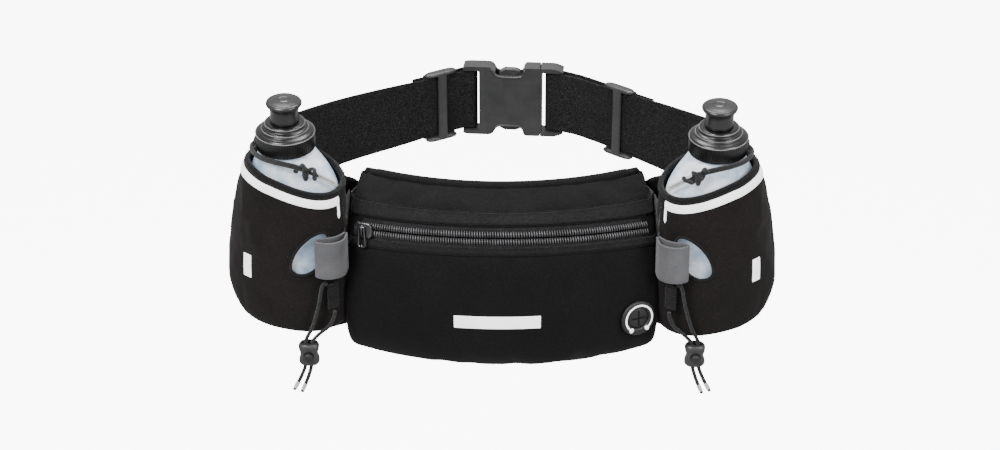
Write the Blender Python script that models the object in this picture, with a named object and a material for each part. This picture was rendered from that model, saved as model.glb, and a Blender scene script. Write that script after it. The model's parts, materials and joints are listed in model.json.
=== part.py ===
"""Running hydration waist pack: front pouch, two bottle holsters, elastic strap and buckle.

Frame: origin in the middle of the waist ring at strap height, +X to the right, -Y towards the
pouch at the front, +Z up. Numbers are in millimetres and become metres through MM.
"""

import math

import bmesh
import bpy
import numpy as np
from mathutils import Vector

MM = 0.001
GAP = 0.35  # clearance kept between touching pieces

# Front pouch: a curved body on an arc about a vertical line at (0, ARC_Y)
ARC_Y = 69.0
BACK_RADIUS = 164.0
BACK_THICK = 2.8
POUCH_WALL = 2.2
POUCH_HALF_ANGLE_TOP = 27.8
POUCH_HALF_ANGLE_BOTTOM = 29.3
POUCH_END_SPLAY = 1.7  # degrees that the end walls turn out towards the back
POUCH_CORNER = 6.0
FLAT_HALF_ANGLE = 4.3  # the flat facet in the middle of the back
BACK_TOP = 29.0
BACK_BOTTOM = -84.0
# Pouch side profile: depth in front of the back, height, and how far it drops at the ends
PROFILE = [
    (2.6, 30.0, -0.6),
    (10.5, 26.0, -0.2),
    (18.0, 19.6, 0.8),
    (23.0, 13.4, 3.1),
    (26.2, 7.0, 3.1),
    (28.0, 0.6, 3.1),
    (29.0, -2.6, 3.6),
    (32.5, -20.0, 3.0),
    (34.0, -40.0, 1.0),
    (32.8, -62.0, -1.0),
    (28.0, -75.5, -1.8),
    (18.0, -82.6, -2.0),
    (2.6, -85.4, -2.0),
]
ZIP_TOP, ZIP_BOTTOM = 3.0, 6.0  # places along PROFILE
ZIP_REACH = 26.2  # degrees from the middle to each end of the zip
SLIDER_ANGLE = -24.8  # where the slider rests, with the zip closed
ZIP_TILT = 8.2  # the zip lies on a circle tilted by this many degrees
END_VERSINE = 1.0 - math.cos(math.radians(27.5))

# Wings behind the holsters, left side: plan point, lowest and highest height, lean weight
WING_THICK = 2.4
WING = [
    (-86.2, -73.6, -72.0, 27.0, 0.0),
    (-96.0, -70.6, -77.0, 26.0, 0.5),
    (-108.0, -65.0, -84.0, 23.0, 0.9),
    (-122.0, -58.2, -88.0, 21.0, 1.0),
    (-134.0, -52.0, -84.0, 21.0, 0.9),
    (-144.5, -44.0, -60.0, 24.0, 0.4),
    (-150.6, -33.0, -26.0, 26.0, 0.0),
]
STRAP_PIVOT = (-151.6, -30.8)

# Bottles and holsters, left side
BOTTLE_BASE = (-126.6, -86.4)
BOTTLE_SEAT = {"left": -55.0, "right": -58.0}
BOTTLE_LEAN = (0.012, -0.09)
FACING = 26.0  # degrees that the holster turns away from the front
HOLSTER_WALL = 1.8
# Holster half widths by height: near the pouch, far from it, front and back
HOLSTER_SIZE = [
    (0.0, 35.6, 42.0, 25.4, 25.0),
    (40.0, 35.6, 39.0, 25.6, 25.4),
    (72.0, 35.6, 33.6, 25.4, 25.4),
    (92.0, 35.0, 28.6, 24.0, 24.4),
    (108.0, 32.5, 21.8, 21.5, 22.0),
]
CORNER_CUT = 11.0  # how far the lower far corner is cut back
CORNER_CUT_HEIGHT = 20.0
RIM_NEAR = 94.0
RIM_FAR = 106.5
BINDING = 3.4
PIPING = 5.4
WINDOW = {"phi": 43.0, "h": 57.0, "half_w": 11.0, "half_h": 13.5}
# Bottle outline: height, half width, half depth, shift towards the pouch
BOTTLE = [
    (0.0, 26.0, 18.0, 2.0),
    (2.0, 29.2, 20.4, 2.0),
    (8.0, 31.6, 22.0, 1.4),
    (40.0, 32.0, 22.4, 1.0),
    (72.0, 31.2, 22.4, 1.6),
    (84.0, 29.6, 21.6, 2.8),
    (92.0, 26.8, 20.4, 3.2),
    (99.0, 23.0, 18.8, 2.6),
    (105.0, 18.6, 17.0, 1.2),
    (109.0, 16.2, 15.8, 0.0),
    (110.0, 14.4, 14.4, 0.0),
    (118.0, 14.2, 14.2, 0.0),
]
BOTTLE_WALL = 1.2
CAP_BOTTOM = 110.4
CAP_RADIUS = 17.2
NOZZLE_BOTTOM = 127.5
NOZZLE_TOP = 141.0

# Waist strap
STRAP_WIDE_LOW, STRAP_WIDE_HIGH = 27.0, 25.0  # below and above the middle, at the wing
STRAP_NARROW = 20.8  # half height at the buckle
STRAP_THICK = 1.6
STRAP_LEFT = [(-151.6, -30.8), (-153.0, -17.0), (-149.0, -2.0), (-140.0, 12.0), (-127.0, 26.0),
              (-110.0, 41.0), (-92.0, 54.5), (-72.0, 67.5), (-60.0, 75.2), (-50.5, 81.3),
              (-41.0, 87.4), (-33.0, 92.5)]
STRAP_RIGHT = [(151.6, -30.8), (151.8, -18.0), (146.0, -5.0), (134.5, 8.5), (120.0, 22.6),
               (104.0, 37.2), (95.0, 45.2), (86.0, 53.2), (77.0, 61.2), (68.0, 69.2),
               (58.0, 78.0), (49.5, 85.4)]
RETURN_OFFSET = 5.0
SLIDER_LEFT = (-41.0, 87.4, 32.6)
SLIDER_RIGHT = (77.0, 61.2, -41.6)
SLIDER_HALF = 12.0

# Side-release buckle: x along the strap, y outwards, z up
BUCKLE_CENTRE = (9.0, 98.0)
BUCKLE_TURN = -5.0
BUCKLE_HALF_HEIGHT = 24.6
BUCKLE_HALF_THICK = 6.0
BODY_START, BODY_END = -22.5, 17.0
BAR_INNER = {"left": 28.0, "right": 23.6}
BAR_WIDTH = 5.4
ARM_END = {"left": 35.0, "right": 32.5}
WINDOW_START, WINDOW_END = -13.5, 6.0
WINDOW_DEPTH = 18.0


# ---------------------------------------------------------------- scene and mesh helpers

def clear_scene():
    for old in list(bpy.data.objects):
        bpy.data.objects.remove(old, do_unlink=True)


def material(name, colour, roughness, metallic=0.0):
    found = bpy.data.materials.get(name)
    if found:
        return found
    mat = bpy.data.materials.new(name)
    mat.use_nodes = True
    shader = mat.node_tree.nodes["Principled BSDF"]
    shader.inputs["Base Color"].default_value = (*colour, 1.0)
    shader.inputs["Roughness"].default_value = roughness
    shader.inputs["Metallic"].default_value = metallic
    mat.diffuse_color = (*colour, 1.0)
    return mat


def neoprene():
    return material("neoprene_black", (0.018, 0.018, 0.020), 0.75)


def holster_fabric():
    return material("holster_fabric", (0.020, 0.016, 0.015), 0.8)


def webbing():
    return material("webbing_black", (0.020, 0.020, 0.021), 0.7)


def zip_black():
    return material("zip_black", (0.025, 0.025, 0.027), 0.55)


def zip_metal():
    return material("zip_metal", (0.30, 0.30, 0.31), 0.35, 0.9)


def reflective():
    return material("reflective_white", (0.80, 0.80, 0.82), 0.45)


def grey_elastic():
    return material("elastic_grey", (0.22, 0.22, 0.24), 0.75)


def buckle_plastic():
    return material("buckle_plastic", (0.045, 0.045, 0.048), 0.4)


def bottle_plastic():
    return material("bottle_plastic", (0.72, 0.80, 0.88), 0.3)


def cap_plastic():
    return material("cap_plastic", (0.020, 0.020, 0.022), 0.3)


def rubber_black():
    return material("rubber_black", (0.030, 0.030, 0.032), 0.6)


def cord_black():
    return material("cord_black", (0.022, 0.022, 0.024), 0.7)


def make_object(name, verts, faces, mat, origin=(0.0, 0.0, 0.0), smooth=True):
    """Builds a mesh object from millimetre points, with its origin at a millimetre point."""
    base = Vector(origin)
    mesh = bpy.data.meshes.new(name)
    mesh.from_pydata([(Vector(v) - base) * MM for v in verts], [], faces)
    work = bmesh.new()
    work.from_mesh(mesh)
    bmesh.ops.recalc_face_normals(work, faces=work.faces)
    work.to_mesh(mesh)
    work.free()
    if smooth:
        mesh.shade_smooth()
        mesh.set_sharp_from_angle(angle=math.radians(35))
    mesh.materials.append(mat)
    obj = bpy.data.objects.new(name, mesh)
    bpy.context.collection.objects.link(obj)
    obj.location = base * MM
    return obj


def sheet(name, front, back, mat, around=False, **extra):
    """A closed skin between two equal grids of points; around joins the last column to the first."""
    rows, cols = len(front), len(front[0])
    verts = [p for row in front for p in row] + [p for row in back for p in row]
    half = rows * cols
    faces = []
    last = cols if around else cols - 1
    for r in range(rows - 1):
        for c in range(last):
            d = (c + 1) % cols
            a, b, e, f = r * cols + c, r * cols + d, (r + 1) * cols + d, (r + 1) * cols + c
            faces.append((a, b, e, f))
            faces.append((half + f, half + e, half + b, half + a))
    for c in range(last):
        d = (c + 1) % cols
        faces.append((c, half + c, half + d, d))
        low = (rows - 1) * cols
        faces.append((low + d, half + low + d, half + low + c, low + c))
    if not around:
        for r in range(rows - 1):
            a, b = r * cols, (r + 1) * cols
            faces.append((b, half + b, half + a, a))
            a, b = a + cols - 1, b + cols - 1
            faces.append((a, half + a, half + b, b))
    return make_object(name, verts, faces, mat, **extra)


def stack(name, rings, mat, **extra):
    """A closed skin through a list of rings, with a fan of triangles over each end."""
    count = len(rings[0])
    verts = [p for ring in rings for p in ring]
    faces = []
    for r in range(len(rings) - 1):
        for c in range(count):
            d = (c + 1) % count
            faces.append((r * count + c, r * count + d, (r + 1) * count + d, (r + 1) * count + c))
    for ring, start in ((rings[0], 0), (rings[-1], (len(rings) - 1) * count)):
        pole = len(verts)
        verts.append(tuple(np.mean(np.array(ring), axis=0)))
        for c in range(count):
            faces.append((start + c, start + (c + 1) % count, pole))
    return make_object(name, verts, faces, mat, **extra)


def curve_points(points, steps):
    """A smooth Catmull-Rom curve through hand-set points, with steps pieces between each two."""
    pts = [np.array(p, float) for p in points]
    pts = [2 * pts[0] - pts[1]] + pts + [2 * pts[-1] - pts[-2]]
    out = []
    for i in range(1, len(pts) - 2):
        a, b, c, d = pts[i - 1:i + 3]
        for k in range(steps):
            t = k / steps
            out.append(0.5 * (2 * b + (c - a) * t + (2 * a - 5 * b + 4 * c - d) * t * t
                              + (3 * b - a - 3 * c + d) * t ** 3))
    out.append(pts[-2])
    return out


def plan_normals(path):
    """Unit normals on the left of a plan path."""
    normals = []
    for i in range(len(path)):
        a = path[max(i - 1, 0)]
        b = path[min(i + 1, len(path) - 1)]
        step = np.array(b[:2], float) - np.array(a[:2], float)
        step /= np.linalg.norm(step)
        normals.append(np.array([-step[1], step[0]]))
    return normals


def offset_path(path, distance):
    return [np.array(p[:2]) + n * distance for p, n in zip(path, plan_normals(path))]


def ribbon(name, path, low, high, thick, mat, **extra):
    """An upright band along a plan path; low and high give its edges at each point."""
    sides = []
    for distance in (-thick / 2, thick / 2):
        line = offset_path(path, distance)
        rows = [[(p[0], p[1], low[i] + (high[i] - low[i]) * k / 2) for i, p in enumerate(line)]
                for k in range(3)]
        sides.append(rows)
    return sheet(name, sides[0], sides[1], mat, **extra)


def tube(name, path, radius, mat, sides=8, closed=False, flat=1.0, **extra):
    """A round tube along a 3-D path of points."""
    pts = [Vector(p) for p in path]
    count = len(pts)
    rings = []
    normal = None
    for i, point in enumerate(pts):
        before = pts[i - 1] if closed or i else pts[i]
        after = pts[(i + 1) % count] if closed or i < count - 1 else pts[i]
        along = (after - before).normalized()
        if normal is None:
            seed = Vector((0, 0, 1)) if abs(along.z) < 0.9 else Vector((1, 0, 0))
            normal = (seed - along * seed.dot(along)).normalized()
        else:
            normal = (normal - along * normal.dot(along)).normalized()
        across = along.cross(normal)
        ring = []
        for k in range(sides):
            turn = 2 * math.pi * k / sides
            ring.append(tuple(point + normal * radius * math.cos(turn)
                              + across * radius * flat * math.sin(turn)))
        rings.append(ring)
    if not closed:
        return stack(name, rings, mat, **extra)
    verts = [p for ring in rings for p in ring]
    faces = []
    for r in range(count):
        s = (r + 1) % count
        for c in range(sides):
            d = (c + 1) % sides
            faces.append((r * sides + c, r * sides + d, s * sides + d, s * sides + c))
    return make_object(name, verts, faces, mat, **extra)


def cord(name, path, radius, mat):
    """A round cord along a path of points, with its origin at the path's start."""
    base = Vector(path[0])
    curve = bpy.data.curves.new(name, "CURVE")
    curve.dimensions = "3D"
    curve.bevel_depth = radius * MM
    curve.bevel_resolution = 2
    curve.use_fill_caps = True
    spline = curve.splines.new("POLY")
    spline.points.add(len(path) - 1)
    for spot, point in zip(spline.points, path):
        spot.co = (*((Vector(point) - base) * MM), 1.0)
    curve.materials.append(mat)
    obj = bpy.data.objects.new(name, curve)
    bpy.context.collection.objects.link(obj)
    obj.location = base * MM
    return obj


class Place:
    """A local frame: an origin and three unit directions, in millimetres."""

    def __init__(self, origin, x, y, z):
        self.origin = Vector(origin)
        self.x, self.y, self.z = Vector(x).normalized(), Vector(y).normalized(), Vector(z).normalized()

    def point(self, x, y, z):
        return tuple(self.origin + self.x * x + self.y * y + self.z * z)


def turned(centre, degrees, height=0.0):
    """A frame at a plan point, turned about the vertical."""
    a = math.radians(degrees)
    return Place((centre[0], centre[1], height), (math.cos(a), math.sin(a), 0),
                 (-math.sin(a), math.cos(a), 0), (0, 0, 1))


def slab(name, place, low, high, mat, **extra):
    """A box between two local corners."""
    verts = [place.point(x, y, z) for x in (low[0], high[0]) for y in (low[1], high[1])
             for z in (low[2], high[2])]
    faces = [(0, 1, 3, 2), (4, 6, 7, 5), (0, 4, 5, 1), (2, 3, 7, 6), (0, 2, 6, 4), (1, 5, 7, 3)]
    return make_object(name, verts, faces, mat, smooth=False, **extra)


def prism(name, place, outline, low, high, mat, axis="y", smooth=False, **extra):
    """An outline in local x and z pushed along y, or in x and y pushed along z."""
    verts = []
    for level in (low, high):
        for a, b in outline:
            verts.append(place.point(a, level, b) if axis == "y" else place.point(a, b, level))
    n = len(outline)
    faces = [tuple(range(n)), tuple(range(2 * n - 1, n - 1, -1))]
    faces += [(i, n + i, n + (i + 1) % n, (i + 1) % n) for i in range(n)]
    return make_object(name, verts, faces, mat, smooth=smooth, **extra)


def cut(target, cutters):
    """Takes each cutter out of the target, and hides the cutters."""
    for cutter in cutters:
        tool = target.modifiers.new("cut", "BOOLEAN")
        tool.operation = "DIFFERENCE"
        tool.solver = "EXACT"
        tool.object = cutter
        cutter.hide_render = True
        cutter.display_type = "WIRE"


def rounded_rect(half_a, half_b, radius, steps=4):
    out = []
    for ca, cb, start in ((1, 1, 0), (-1, 1, 90), (-1, -1, 180), (1, -1, 270)):
        for k in range(steps + 1):
            turn = math.radians(start + 90 * k / steps)
            out.append((ca * (half_a - radius) + radius * math.cos(turn),
                        cb * (half_b - radius) + radius * math.sin(turn)))
    return out


def ellipse(half_a, half_b, count=20):
    return [(half_a * math.cos(2 * math.pi * k / count), half_b * math.sin(2 * math.pi * k / count))
            for k in range(count)]


# ---------------------------------------------------------------- front pouch

def profile_at(place, inset=0.0):
    """Depth, height and end drop at a place along the side profile, moved in by inset."""
    smooth = np.array(curve_points(PROFILE, 6))
    spot = min(max(place, 0.0), len(PROFILE) - 1.0) * 6
    index = min(int(spot), len(smooth) - 2)
    here = smooth[index] + (smooth[index + 1] - smooth[index]) * (spot - index)
    a, b = smooth[max(index - 2, 0)], smooth[min(index + 3, len(smooth) - 1)]
    along = (b - a)[:2] / np.linalg.norm((b - a)[:2])
    inward = np.array([along[1], -along[0]])
    depth, height = here[:2] + inward * inset
    return depth, height, here[2]


def half_angle(height, depth=25.0):
    share = (BACK_TOP - height) / (BACK_TOP - BACK_BOTTOM)
    return math.radians(POUCH_HALF_ANGLE_TOP
                        + (POUCH_HALF_ANGLE_BOTTOM - POUCH_HALF_ANGLE_TOP) * share
                        + POUCH_END_SPLAY * max(0.0, 1.0 - depth / 30.0))


def arc_point(angle, radius, height):
    return (radius * math.sin(angle), ARC_Y - radius * math.cos(angle), height)


def front_point(angle, place, inset=0.0):
    """A point on the pouch's front skin at an angle in radians and a place along the profile."""
    depth, height, drop = profile_at(place, inset)
    sag = drop * (1.0 - math.cos(angle)) / END_VERSINE
    return arc_point(angle, BACK_RADIUS + depth, height - sag)


def pouch_columns(place, inset):
    """One row of the pouch skin, from one end wall around the front to the other."""
    outer_depth, outer_height, drop = profile_at(place)
    depth, height, _ = profile_at(place, inset)
    mean = BACK_RADIUS + outer_depth
    corner = min(POUCH_CORNER, 0.45 * outer_depth)
    limit = half_angle(outer_height, outer_depth)
    spread = limit - corner / mean
    inner_corner = max(corner - inset, 0.15)
    row = []
    for k in range(-10, 11):
        angle = spread * k / 10
        sag = drop * (1.0 - math.cos(angle)) / END_VERSINE
        row.append(arc_point(angle, BACK_RADIUS + depth, height - sag))
    right = []
    end_sag = drop * (1.0 - math.cos(limit)) / END_VERSINE
    for turn in (30, 60, 90):
        a = math.radians(turn)
        angle = limit - (inset + inner_corner * (1 - math.sin(a))) / mean
        radius = BACK_RADIUS + depth - inner_corner * (1 - math.cos(a))
        right.append(arc_point(angle, radius, height - end_sag))
    wall_top = depth - inner_corner
    floor = 0.4
    for share in (0.5, 1.0):
        at = wall_top + (floor - wall_top) * share
        turn = half_angle(outer_height, min(at, outer_depth))
        right.append(arc_point(turn - inset / mean, BACK_RADIUS + at, height - end_sag))
    left = [(-x, y, z) for x, y, z in reversed(right)]
    return left + row + right


def build_pouch():
    angles = [-30.2, -24, -18, -12, -FLAT_HALF_ANGLE, FLAT_HALF_ANGLE, 12, 18, 24, 30.2]
    heights = [BACK_BOTTOM, BACK_BOTTOM + 12, -20, BACK_TOP - 8, BACK_TOP]
    squeeze = [0.94, 1.0, 1.0, 1.0, 0.97]
    sides = []
    for radius in (BACK_RADIUS - BACK_THICK, BACK_RADIUS):
        sides.append([[arc_point(math.radians(a * s), radius, h) for a in angles]
                      for h, s in zip(heights, squeeze)])
    for side in sides:
        for r in range(len(heights)):
            for c in (4, 5):
                side[r][c] = (math.copysign(12.1, angles[c]), side[2][4][1], side[r][c][2])
    sheet("back_panel", sides[1], sides[0], neoprene(), smooth=False)

    for name, start, end, rows in (("pouch_upper_panel", 0.0, ZIP_TOP, 7),
                                   ("pouch_lower_panel", ZIP_BOTTOM, 12.0, 13)):
        places = [start + (end - start) * k / (rows - 1) for k in range(rows)]
        outer = [pouch_columns(p, 0.0) for p in places]
        inner = [pouch_columns(p, POUCH_WALL) for p in places]
        panel = sheet(name, outer, inner, neoprene())
        if name == "pouch_lower_panel":
            port = port_place()
            bore = prism("port_bore", port, ellipse(6.0, 6.0, 16), -8.0, 8.0, rubber_black())
            cut(panel, [bore])

    places = [ZIP_TOP + GAP / 8 + (ZIP_BOTTOM - ZIP_TOP - GAP / 4) * k / 5 for k in range(6)]
    for side, columns in (("left", slice(0, 6)), ("right", slice(-6, None))):
        outer = [pouch_columns(p, 0.0)[columns] for p in places]
        inner = [pouch_columns(p, POUCH_WALL)[columns] for p in places]
        sheet("pouch_end_" + side, outer, inner, neoprene())


def patch(name, angle_from, angle_to, place_from, place_to, near, far, mat, cols=15, rows=2):
    """A thin strip that follows the pouch's front skin between two insets."""
    sides = []
    for inset in (near, far):
        grid = []
        for r in range(rows):
            place = place_from + (place_to - place_from) * r / (rows - 1)
            grid.append([front_point(math.radians(angle_from + (angle_to - angle_from) * c / (cols - 1)),
                                     place, inset) for c in range(cols)])
        sides.append(grid)
    return sheet(name, sides[0], sides[1], mat)


def build_zip():
    reach = ZIP_REACH
    patch("placket_upper", -reach, reach, 2.05, 2.92, -1.0, -GAP, neoprene())
    patch("placket_lower", -reach, reach, 4.80, 5.93, -0.4, 0.6, neoprene(), rows=3)
    patch("zip_tape_upper", -reach, reach, 3.08, 3.94, 1.0, 1.7, zip_black())
    patch("zip_tape_lower", -reach, reach, 4.06, 5.9, 1.0, 1.7, zip_black())
    patch("zip_coil_upper", -reach, reach, 3.42, 3.95, -0.5, 0.6, zip_black())
    patch("zip_coil_lower", -reach, reach, 4.05, 4.55, -0.5, 0.6, zip_black())


def zip_frame(angle_degrees, out):
    """A frame on the zip: x along the zip, y out of the pouch, z across the zip."""
    tilt = math.radians(ZIP_TILT)
    angle = math.radians(angle_degrees)
    forward = Vector((0, -math.cos(tilt), math.sin(tilt)))
    axis = Vector((0, math.sin(tilt), math.cos(tilt)))
    radial = Vector((1, 0, 0)) * math.sin(angle) + forward * math.cos(angle)
    along = axis.cross(radial)
    radius = (BACK_RADIUS + PROFILE[4][0]) / math.cos(tilt)
    mid = PROFILE[4][1] - radius * math.sin(tilt)
    origin = Vector((0, ARC_Y, mid)) + radial * (radius + out)
    return Place(origin, -along, radial, axis)


def build_zip_slider():
    place = zip_frame(SLIDER_ANGLE, 1.2)
    outline = [(-6.0, 2.6), (-4.4, 4.4), (2.6, 4.8), (6.0, 3.0), (6.0, -3.0), (2.6, -4.8),
               (-4.4, -4.4), (-6.0, -2.6)]
    prism("zip_slider", place, outline, 0.0, 2.0, zip_metal(), origin=place.point(0, 0, 0))
    pull = [(-1.6, 2.2), (1.6, 2.2), (1.8, -2.0), (2.3, -8.0), (1.6, -10.4), (-1.6, -10.4),
            (-2.3, -8.0), (-1.8, -2.0)]
    prism("zip_puller", place, pull, 2.4, 3.6, zip_metal(), origin=place.point(0, 3.0, 1.6))


def port_place():
    spot = Vector(front_point(math.radians(24.0), 8.45, 0.0))
    angle = math.radians(24.0)
    out = Vector((math.sin(angle), -math.cos(angle), 0.04)).normalized()
    side = Vector((math.cos(angle), math.sin(angle), 0))
    return Place(spot, side, out, side.cross(out))


def build_port():
    place = port_place()
    rings = []
    for radius, out in ((6.6, 0.9), (10.4, 0.9), (11.0, 1.6), (10.4, 2.6), (7.6, 3.0), (6.6, 2.4)):
        rings.append([place.point(radius * math.cos(2 * math.pi * k / 28), out,
                                  radius * math.sin(2 * math.pi * k / 28)) for k in range(28)])
    closed_rings(rings, "port_ring", rubber_black())
    prism("port_membrane", place, ellipse(6.2, 6.2, 24), 1.0, 2.0, rubber_black())


def closed_rings(rings, name, mat):
    """Rings joined one to the next, and the last back to the first."""
    count = len(rings[0])
    verts = [p for ring in rings for p in ring]
    faces = []
    for r in range(len(rings)):
        s = (r + 1) % len(rings)
        for c in range(count):
            d = (c + 1) % count
            faces.append((r * count + c, r * count + d, s * count + d, s * count + c))
    return make_object(name, verts, faces, mat)


# ---------------------------------------------------------------- mirrored side pieces

def mirror(point, side):
    return (point[0] if side == "left" else -point[0], *point[1:])


def wing_point(index, height, out=0.0):
    """A point on the left wing's middle surface, or moved out of it."""
    x, y, _, _, lean = WING_LINE[index]
    normal = WING_NORMALS[index]
    shift = lean * (height + 58.0)
    return (x + BOTTLE_LEAN[0] * shift + normal[0] * out,
            y + BOTTLE_LEAN[1] * shift + normal[1] * out, height)


WING_LINE = curve_points(WING, 2)
WING_NORMALS = plan_normals(WING_LINE)


def build_wing(side):
    rows = 6
    sides = []
    for out in (-WING_THICK / 2, WING_THICK / 2):
        grid = []
        for r in range(rows):
            line = []
            for i, spot in enumerate(WING_LINE):
                height = spot[2] + (spot[3] - spot[2]) * r / (rows - 1)
                line.append(mirror(wing_point(i, height, out), side))
            grid.append(line)
        sides.append(grid)
    sheet("wing_" + side, sides[0], sides[1], neoprene())


def bottle_place(side):
    turn = math.radians(FACING)
    up = Vector((BOTTLE_LEAN[0], BOTTLE_LEAN[1], 1.0)).normalized()
    across = Vector((math.cos(turn), -math.sin(turn), 0))
    across = (across - up * across.dot(up)).normalized()
    out = across.cross(up)
    place = Place((*BOTTLE_BASE, BOTTLE_SEAT[side]), across, out, up)
    if side == "right":
        place.origin.x *= -1
        for axis in (place.x, place.y, place.z):
            axis.x *= -1
    return place


def holster_point(side, phi, height, inset=0.0):
    """A point on the holster's skin: phi 0 is by the pouch, 90 faces out, 180 is the far edge."""
    place = holster_place(side)
    c, s = math.cos(math.radians(phi)), math.sin(math.radians(phi))
    heights = [row[0] for row in HOLSTER_SIZE]
    near, far, front, back = (float(np.interp(height, heights, [row[k] for row in HOLSTER_SIZE]))
                              for k in (1, 2, 3, 4))
    cut_share = max(0.0, 1.0 - height / CORNER_CUT_HEIGHT) ** 1.5
    wide = (near if c > 0 else far - CORNER_CUT * cut_share) - inset
    deep = (front if s > 0 else back) - inset
    power = 2 / 2.25
    x = wide * math.copysign(abs(c) ** power, c)
    y = deep * math.copysign(abs(s) ** power, s)
    return place.point(x, y, height)


def holster_place(side):
    place = bottle_place(side)
    place.origin -= place.z * 2.6
    return place


def rim_height(phi):
    away = min(abs(phi) if phi <= 180 else 360 - phi, 180) * 1.3
    return RIM_NEAR + (RIM_FAR - RIM_NEAR) * (1 - math.cos(math.radians(min(away, 180)))) / 2


def build_holster(side):
    turns = [360 * k / 36 for k in range(36)]
    rings = []
    for inset, shares in ((0.0, (0.0, 0.02, 0.07, 0.3, 0.55, 0.8, 1.0)),
                          (HOLSTER_WALL, (1.0, 0.8, 0.55, 0.3, 0.07, 0.02))):
        for share in shares:
            ring = []
            for phi in turns:
                top = rim_height(phi) - BINDING - GAP
                tuck = {0.0: 4.0, 0.02: 1.2}.get(share, 0.0)
                height = top * share
                if inset and share == 0.02:
                    tuck, height = 2.0, HOLSTER_WALL
                ring.append(holster_point(side, phi, height, inset + tuck))
            rings.append(ring)
    holster = stack("holster_" + side, rings, holster_fabric())

    spot = Vector(holster_point(side, WINDOW["phi"], WINDOW["h"]))
    ahead = Vector(holster_point(side, WINDOW["phi"] - 8, WINDOW["h"]))
    behind = Vector(holster_point(side, WINDOW["phi"] + 8, WINDOW["h"]))
    along = (ahead - behind).normalized()
    up = holster_place(side).z
    hole = Place(spot, along, up.cross(along), up)
    cutter = prism("window_cutter_" + side, hole, ellipse(WINDOW["half_w"], WINDOW["half_h"], 20),
                   -7.0, 7.0, holster_fabric())
    cut(holster, [cutter])

    grids = []
    for inset in (-0.4, 1.9):
        grids.append([[holster_point(side, phi, rim_height(phi) - BINDING * k / 2, inset)
                       for phi in turns] for k in range(3)])
    sheet("holster_binding_" + side, grids[0], grids[1], webbing(), around=True)

    arc = [-25 + 230 * k / 23 for k in range(24)]
    grids = []
    for inset in (-1.0, -GAP):
        grids.append([[holster_point(side, phi, rim_height(phi) - BINDING - 0.7 - PIPING * k, inset)
                       for phi in arc] for k in range(2)])
    sheet("reflective_piping_" + side, grids[0], grids[1], reflective())

    grids = []
    for inset in (-0.75, -GAP):
        grids.append([[holster_point(side, 106 + 3.0 * c, 32 + 8 * r, inset) for c in range(4)]
                      for r in range(3)])
    sheet("reflective_tab_" + side, grids[0], grids[1], reflective())


def build_bottle(side):
    place = bottle_place(side)
    count = 32

    def ring(height, wide, deep, shift):
        return [place.point(shift + wide * math.cos(2 * math.pi * k / count),
                            deep * math.sin(2 * math.pi * k / count), height) for k in range(count)]

    outer = [ring(*row) for row in BOTTLE]
    inner = [ring(max(h, BOTTLE_WALL + 0.3), w - BOTTLE_WALL, d - BOTTLE_WALL, m)
             for h, w, d, m in reversed(BOTTLE[1:])]
    stack("bottle_" + side, outer + inner, bottle_plastic(), origin=place.point(0, 0, 0))

    def lathe(profile, sides=28):
        return [[place.point(r * math.cos(2 * math.pi * k / sides),
                             r * math.sin(2 * math.pi * k / sides), h) for k in range(sides)]
                for r, h in profile]

    r, c, n = CAP_RADIUS, CAP_BOTTOM, NOZZLE_BOTTOM - 0.4
    cap = [(5.2, NOZZLE_TOP - 4.0), (5.2, n), (10.8, n), (11.6, n - 0.8), (11.6, n - 2.6),
           (13.6, n - 3.2), (13.6, n - 4.8), (r - 0.8, n - 5.6), (r, n - 6.8), (r, c + 0.6),
           (r - 0.5, c), (14.8, c), (14.8, c + 9.4), (4.0, c + 9.4)]
    stack("bottle_cap_" + side, lathe(cap), cap_plastic(), origin=place.point(0, 0, CAP_BOTTOM))
    b, t = NOZZLE_BOTTOM, NOZZLE_TOP
    nozzle = [(5.6, t - 2.8), (5.6, b), (8.6, b), (8.3, b + 4), (8.5, t - 5.2), (10.3, t - 3.0),
              (10.4, t - 2.0), (8.6, t - 0.6), (3.0, t)]
    stack("nozzle_" + side, lathe(nozzle), cap_plastic(), origin=place.point(0, 0, b))


def build_retainer(side):
    """The elastic loop over the bottle's shoulder, from the far rim to the pouch's corner."""
    place = bottle_place(side)
    spots = [(-19.2, 2.0, 108.4), (-17.2, 9.0, 108.5), (-12.0, 15.2, 108.4), (-4.0, 18.9, 108.0),
             (4.5, 19.4, 107.2), (12.5, 17.6, 106.0), (19.0, 14.6, 104.2), (24.5, 11.6, 101.6),
             (29.5, 8.6, 98.8)]
    route = [place.point(*spot) for spot in curve_points(spots, 2)]
    tube("retainer_loop_" + side, route, 1.25, cord_black(), sides=8)


# Flat elastic loop: angle round the holster and distance out of it, from the seam out and back
GEL_BAND = [(-2.0, 2.4), (4.0, 4.2), (14.0, 6.8), (26.0, 7.8), (37.0, 7.0), (43.4, 4.4),
            (38.0, 1.9), (26.0, 1.3), (14.0, 1.2), (4.0, 1.1), (-2.0, 1.0)]
GEL_LOW, GEL_HIGH, GEL_THICK = 41.0, 66.0, 1.2


def build_gel_loop(side):
    """A flat elastic loop beside the pouch, open above and below, folded at its far edge."""
    place = holster_place(side)
    spots = curve_points(GEL_BAND, 2)
    grids = [[], []]
    for r in range(3):
        height = GEL_LOW + (GEL_HIGH - GEL_LOW) * r / 2
        line = []
        for phi, off in spots:
            reach = Vector(holster_point(side, phi, height, -off)) - place.origin
            line.append((reach.dot(place.x), reach.dot(place.y)))
        for grid, shift in zip(grids, (-GEL_THICK / 2, GEL_THICK / 2)):
            grid.append([place.point(x, y, height) for x, y in offset_path(line, shift)])
    sheet("gel_loop_" + side, grids[1], grids[0], grey_elastic())


# ---------------------------------------------------------------- bib cords and locks

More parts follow.
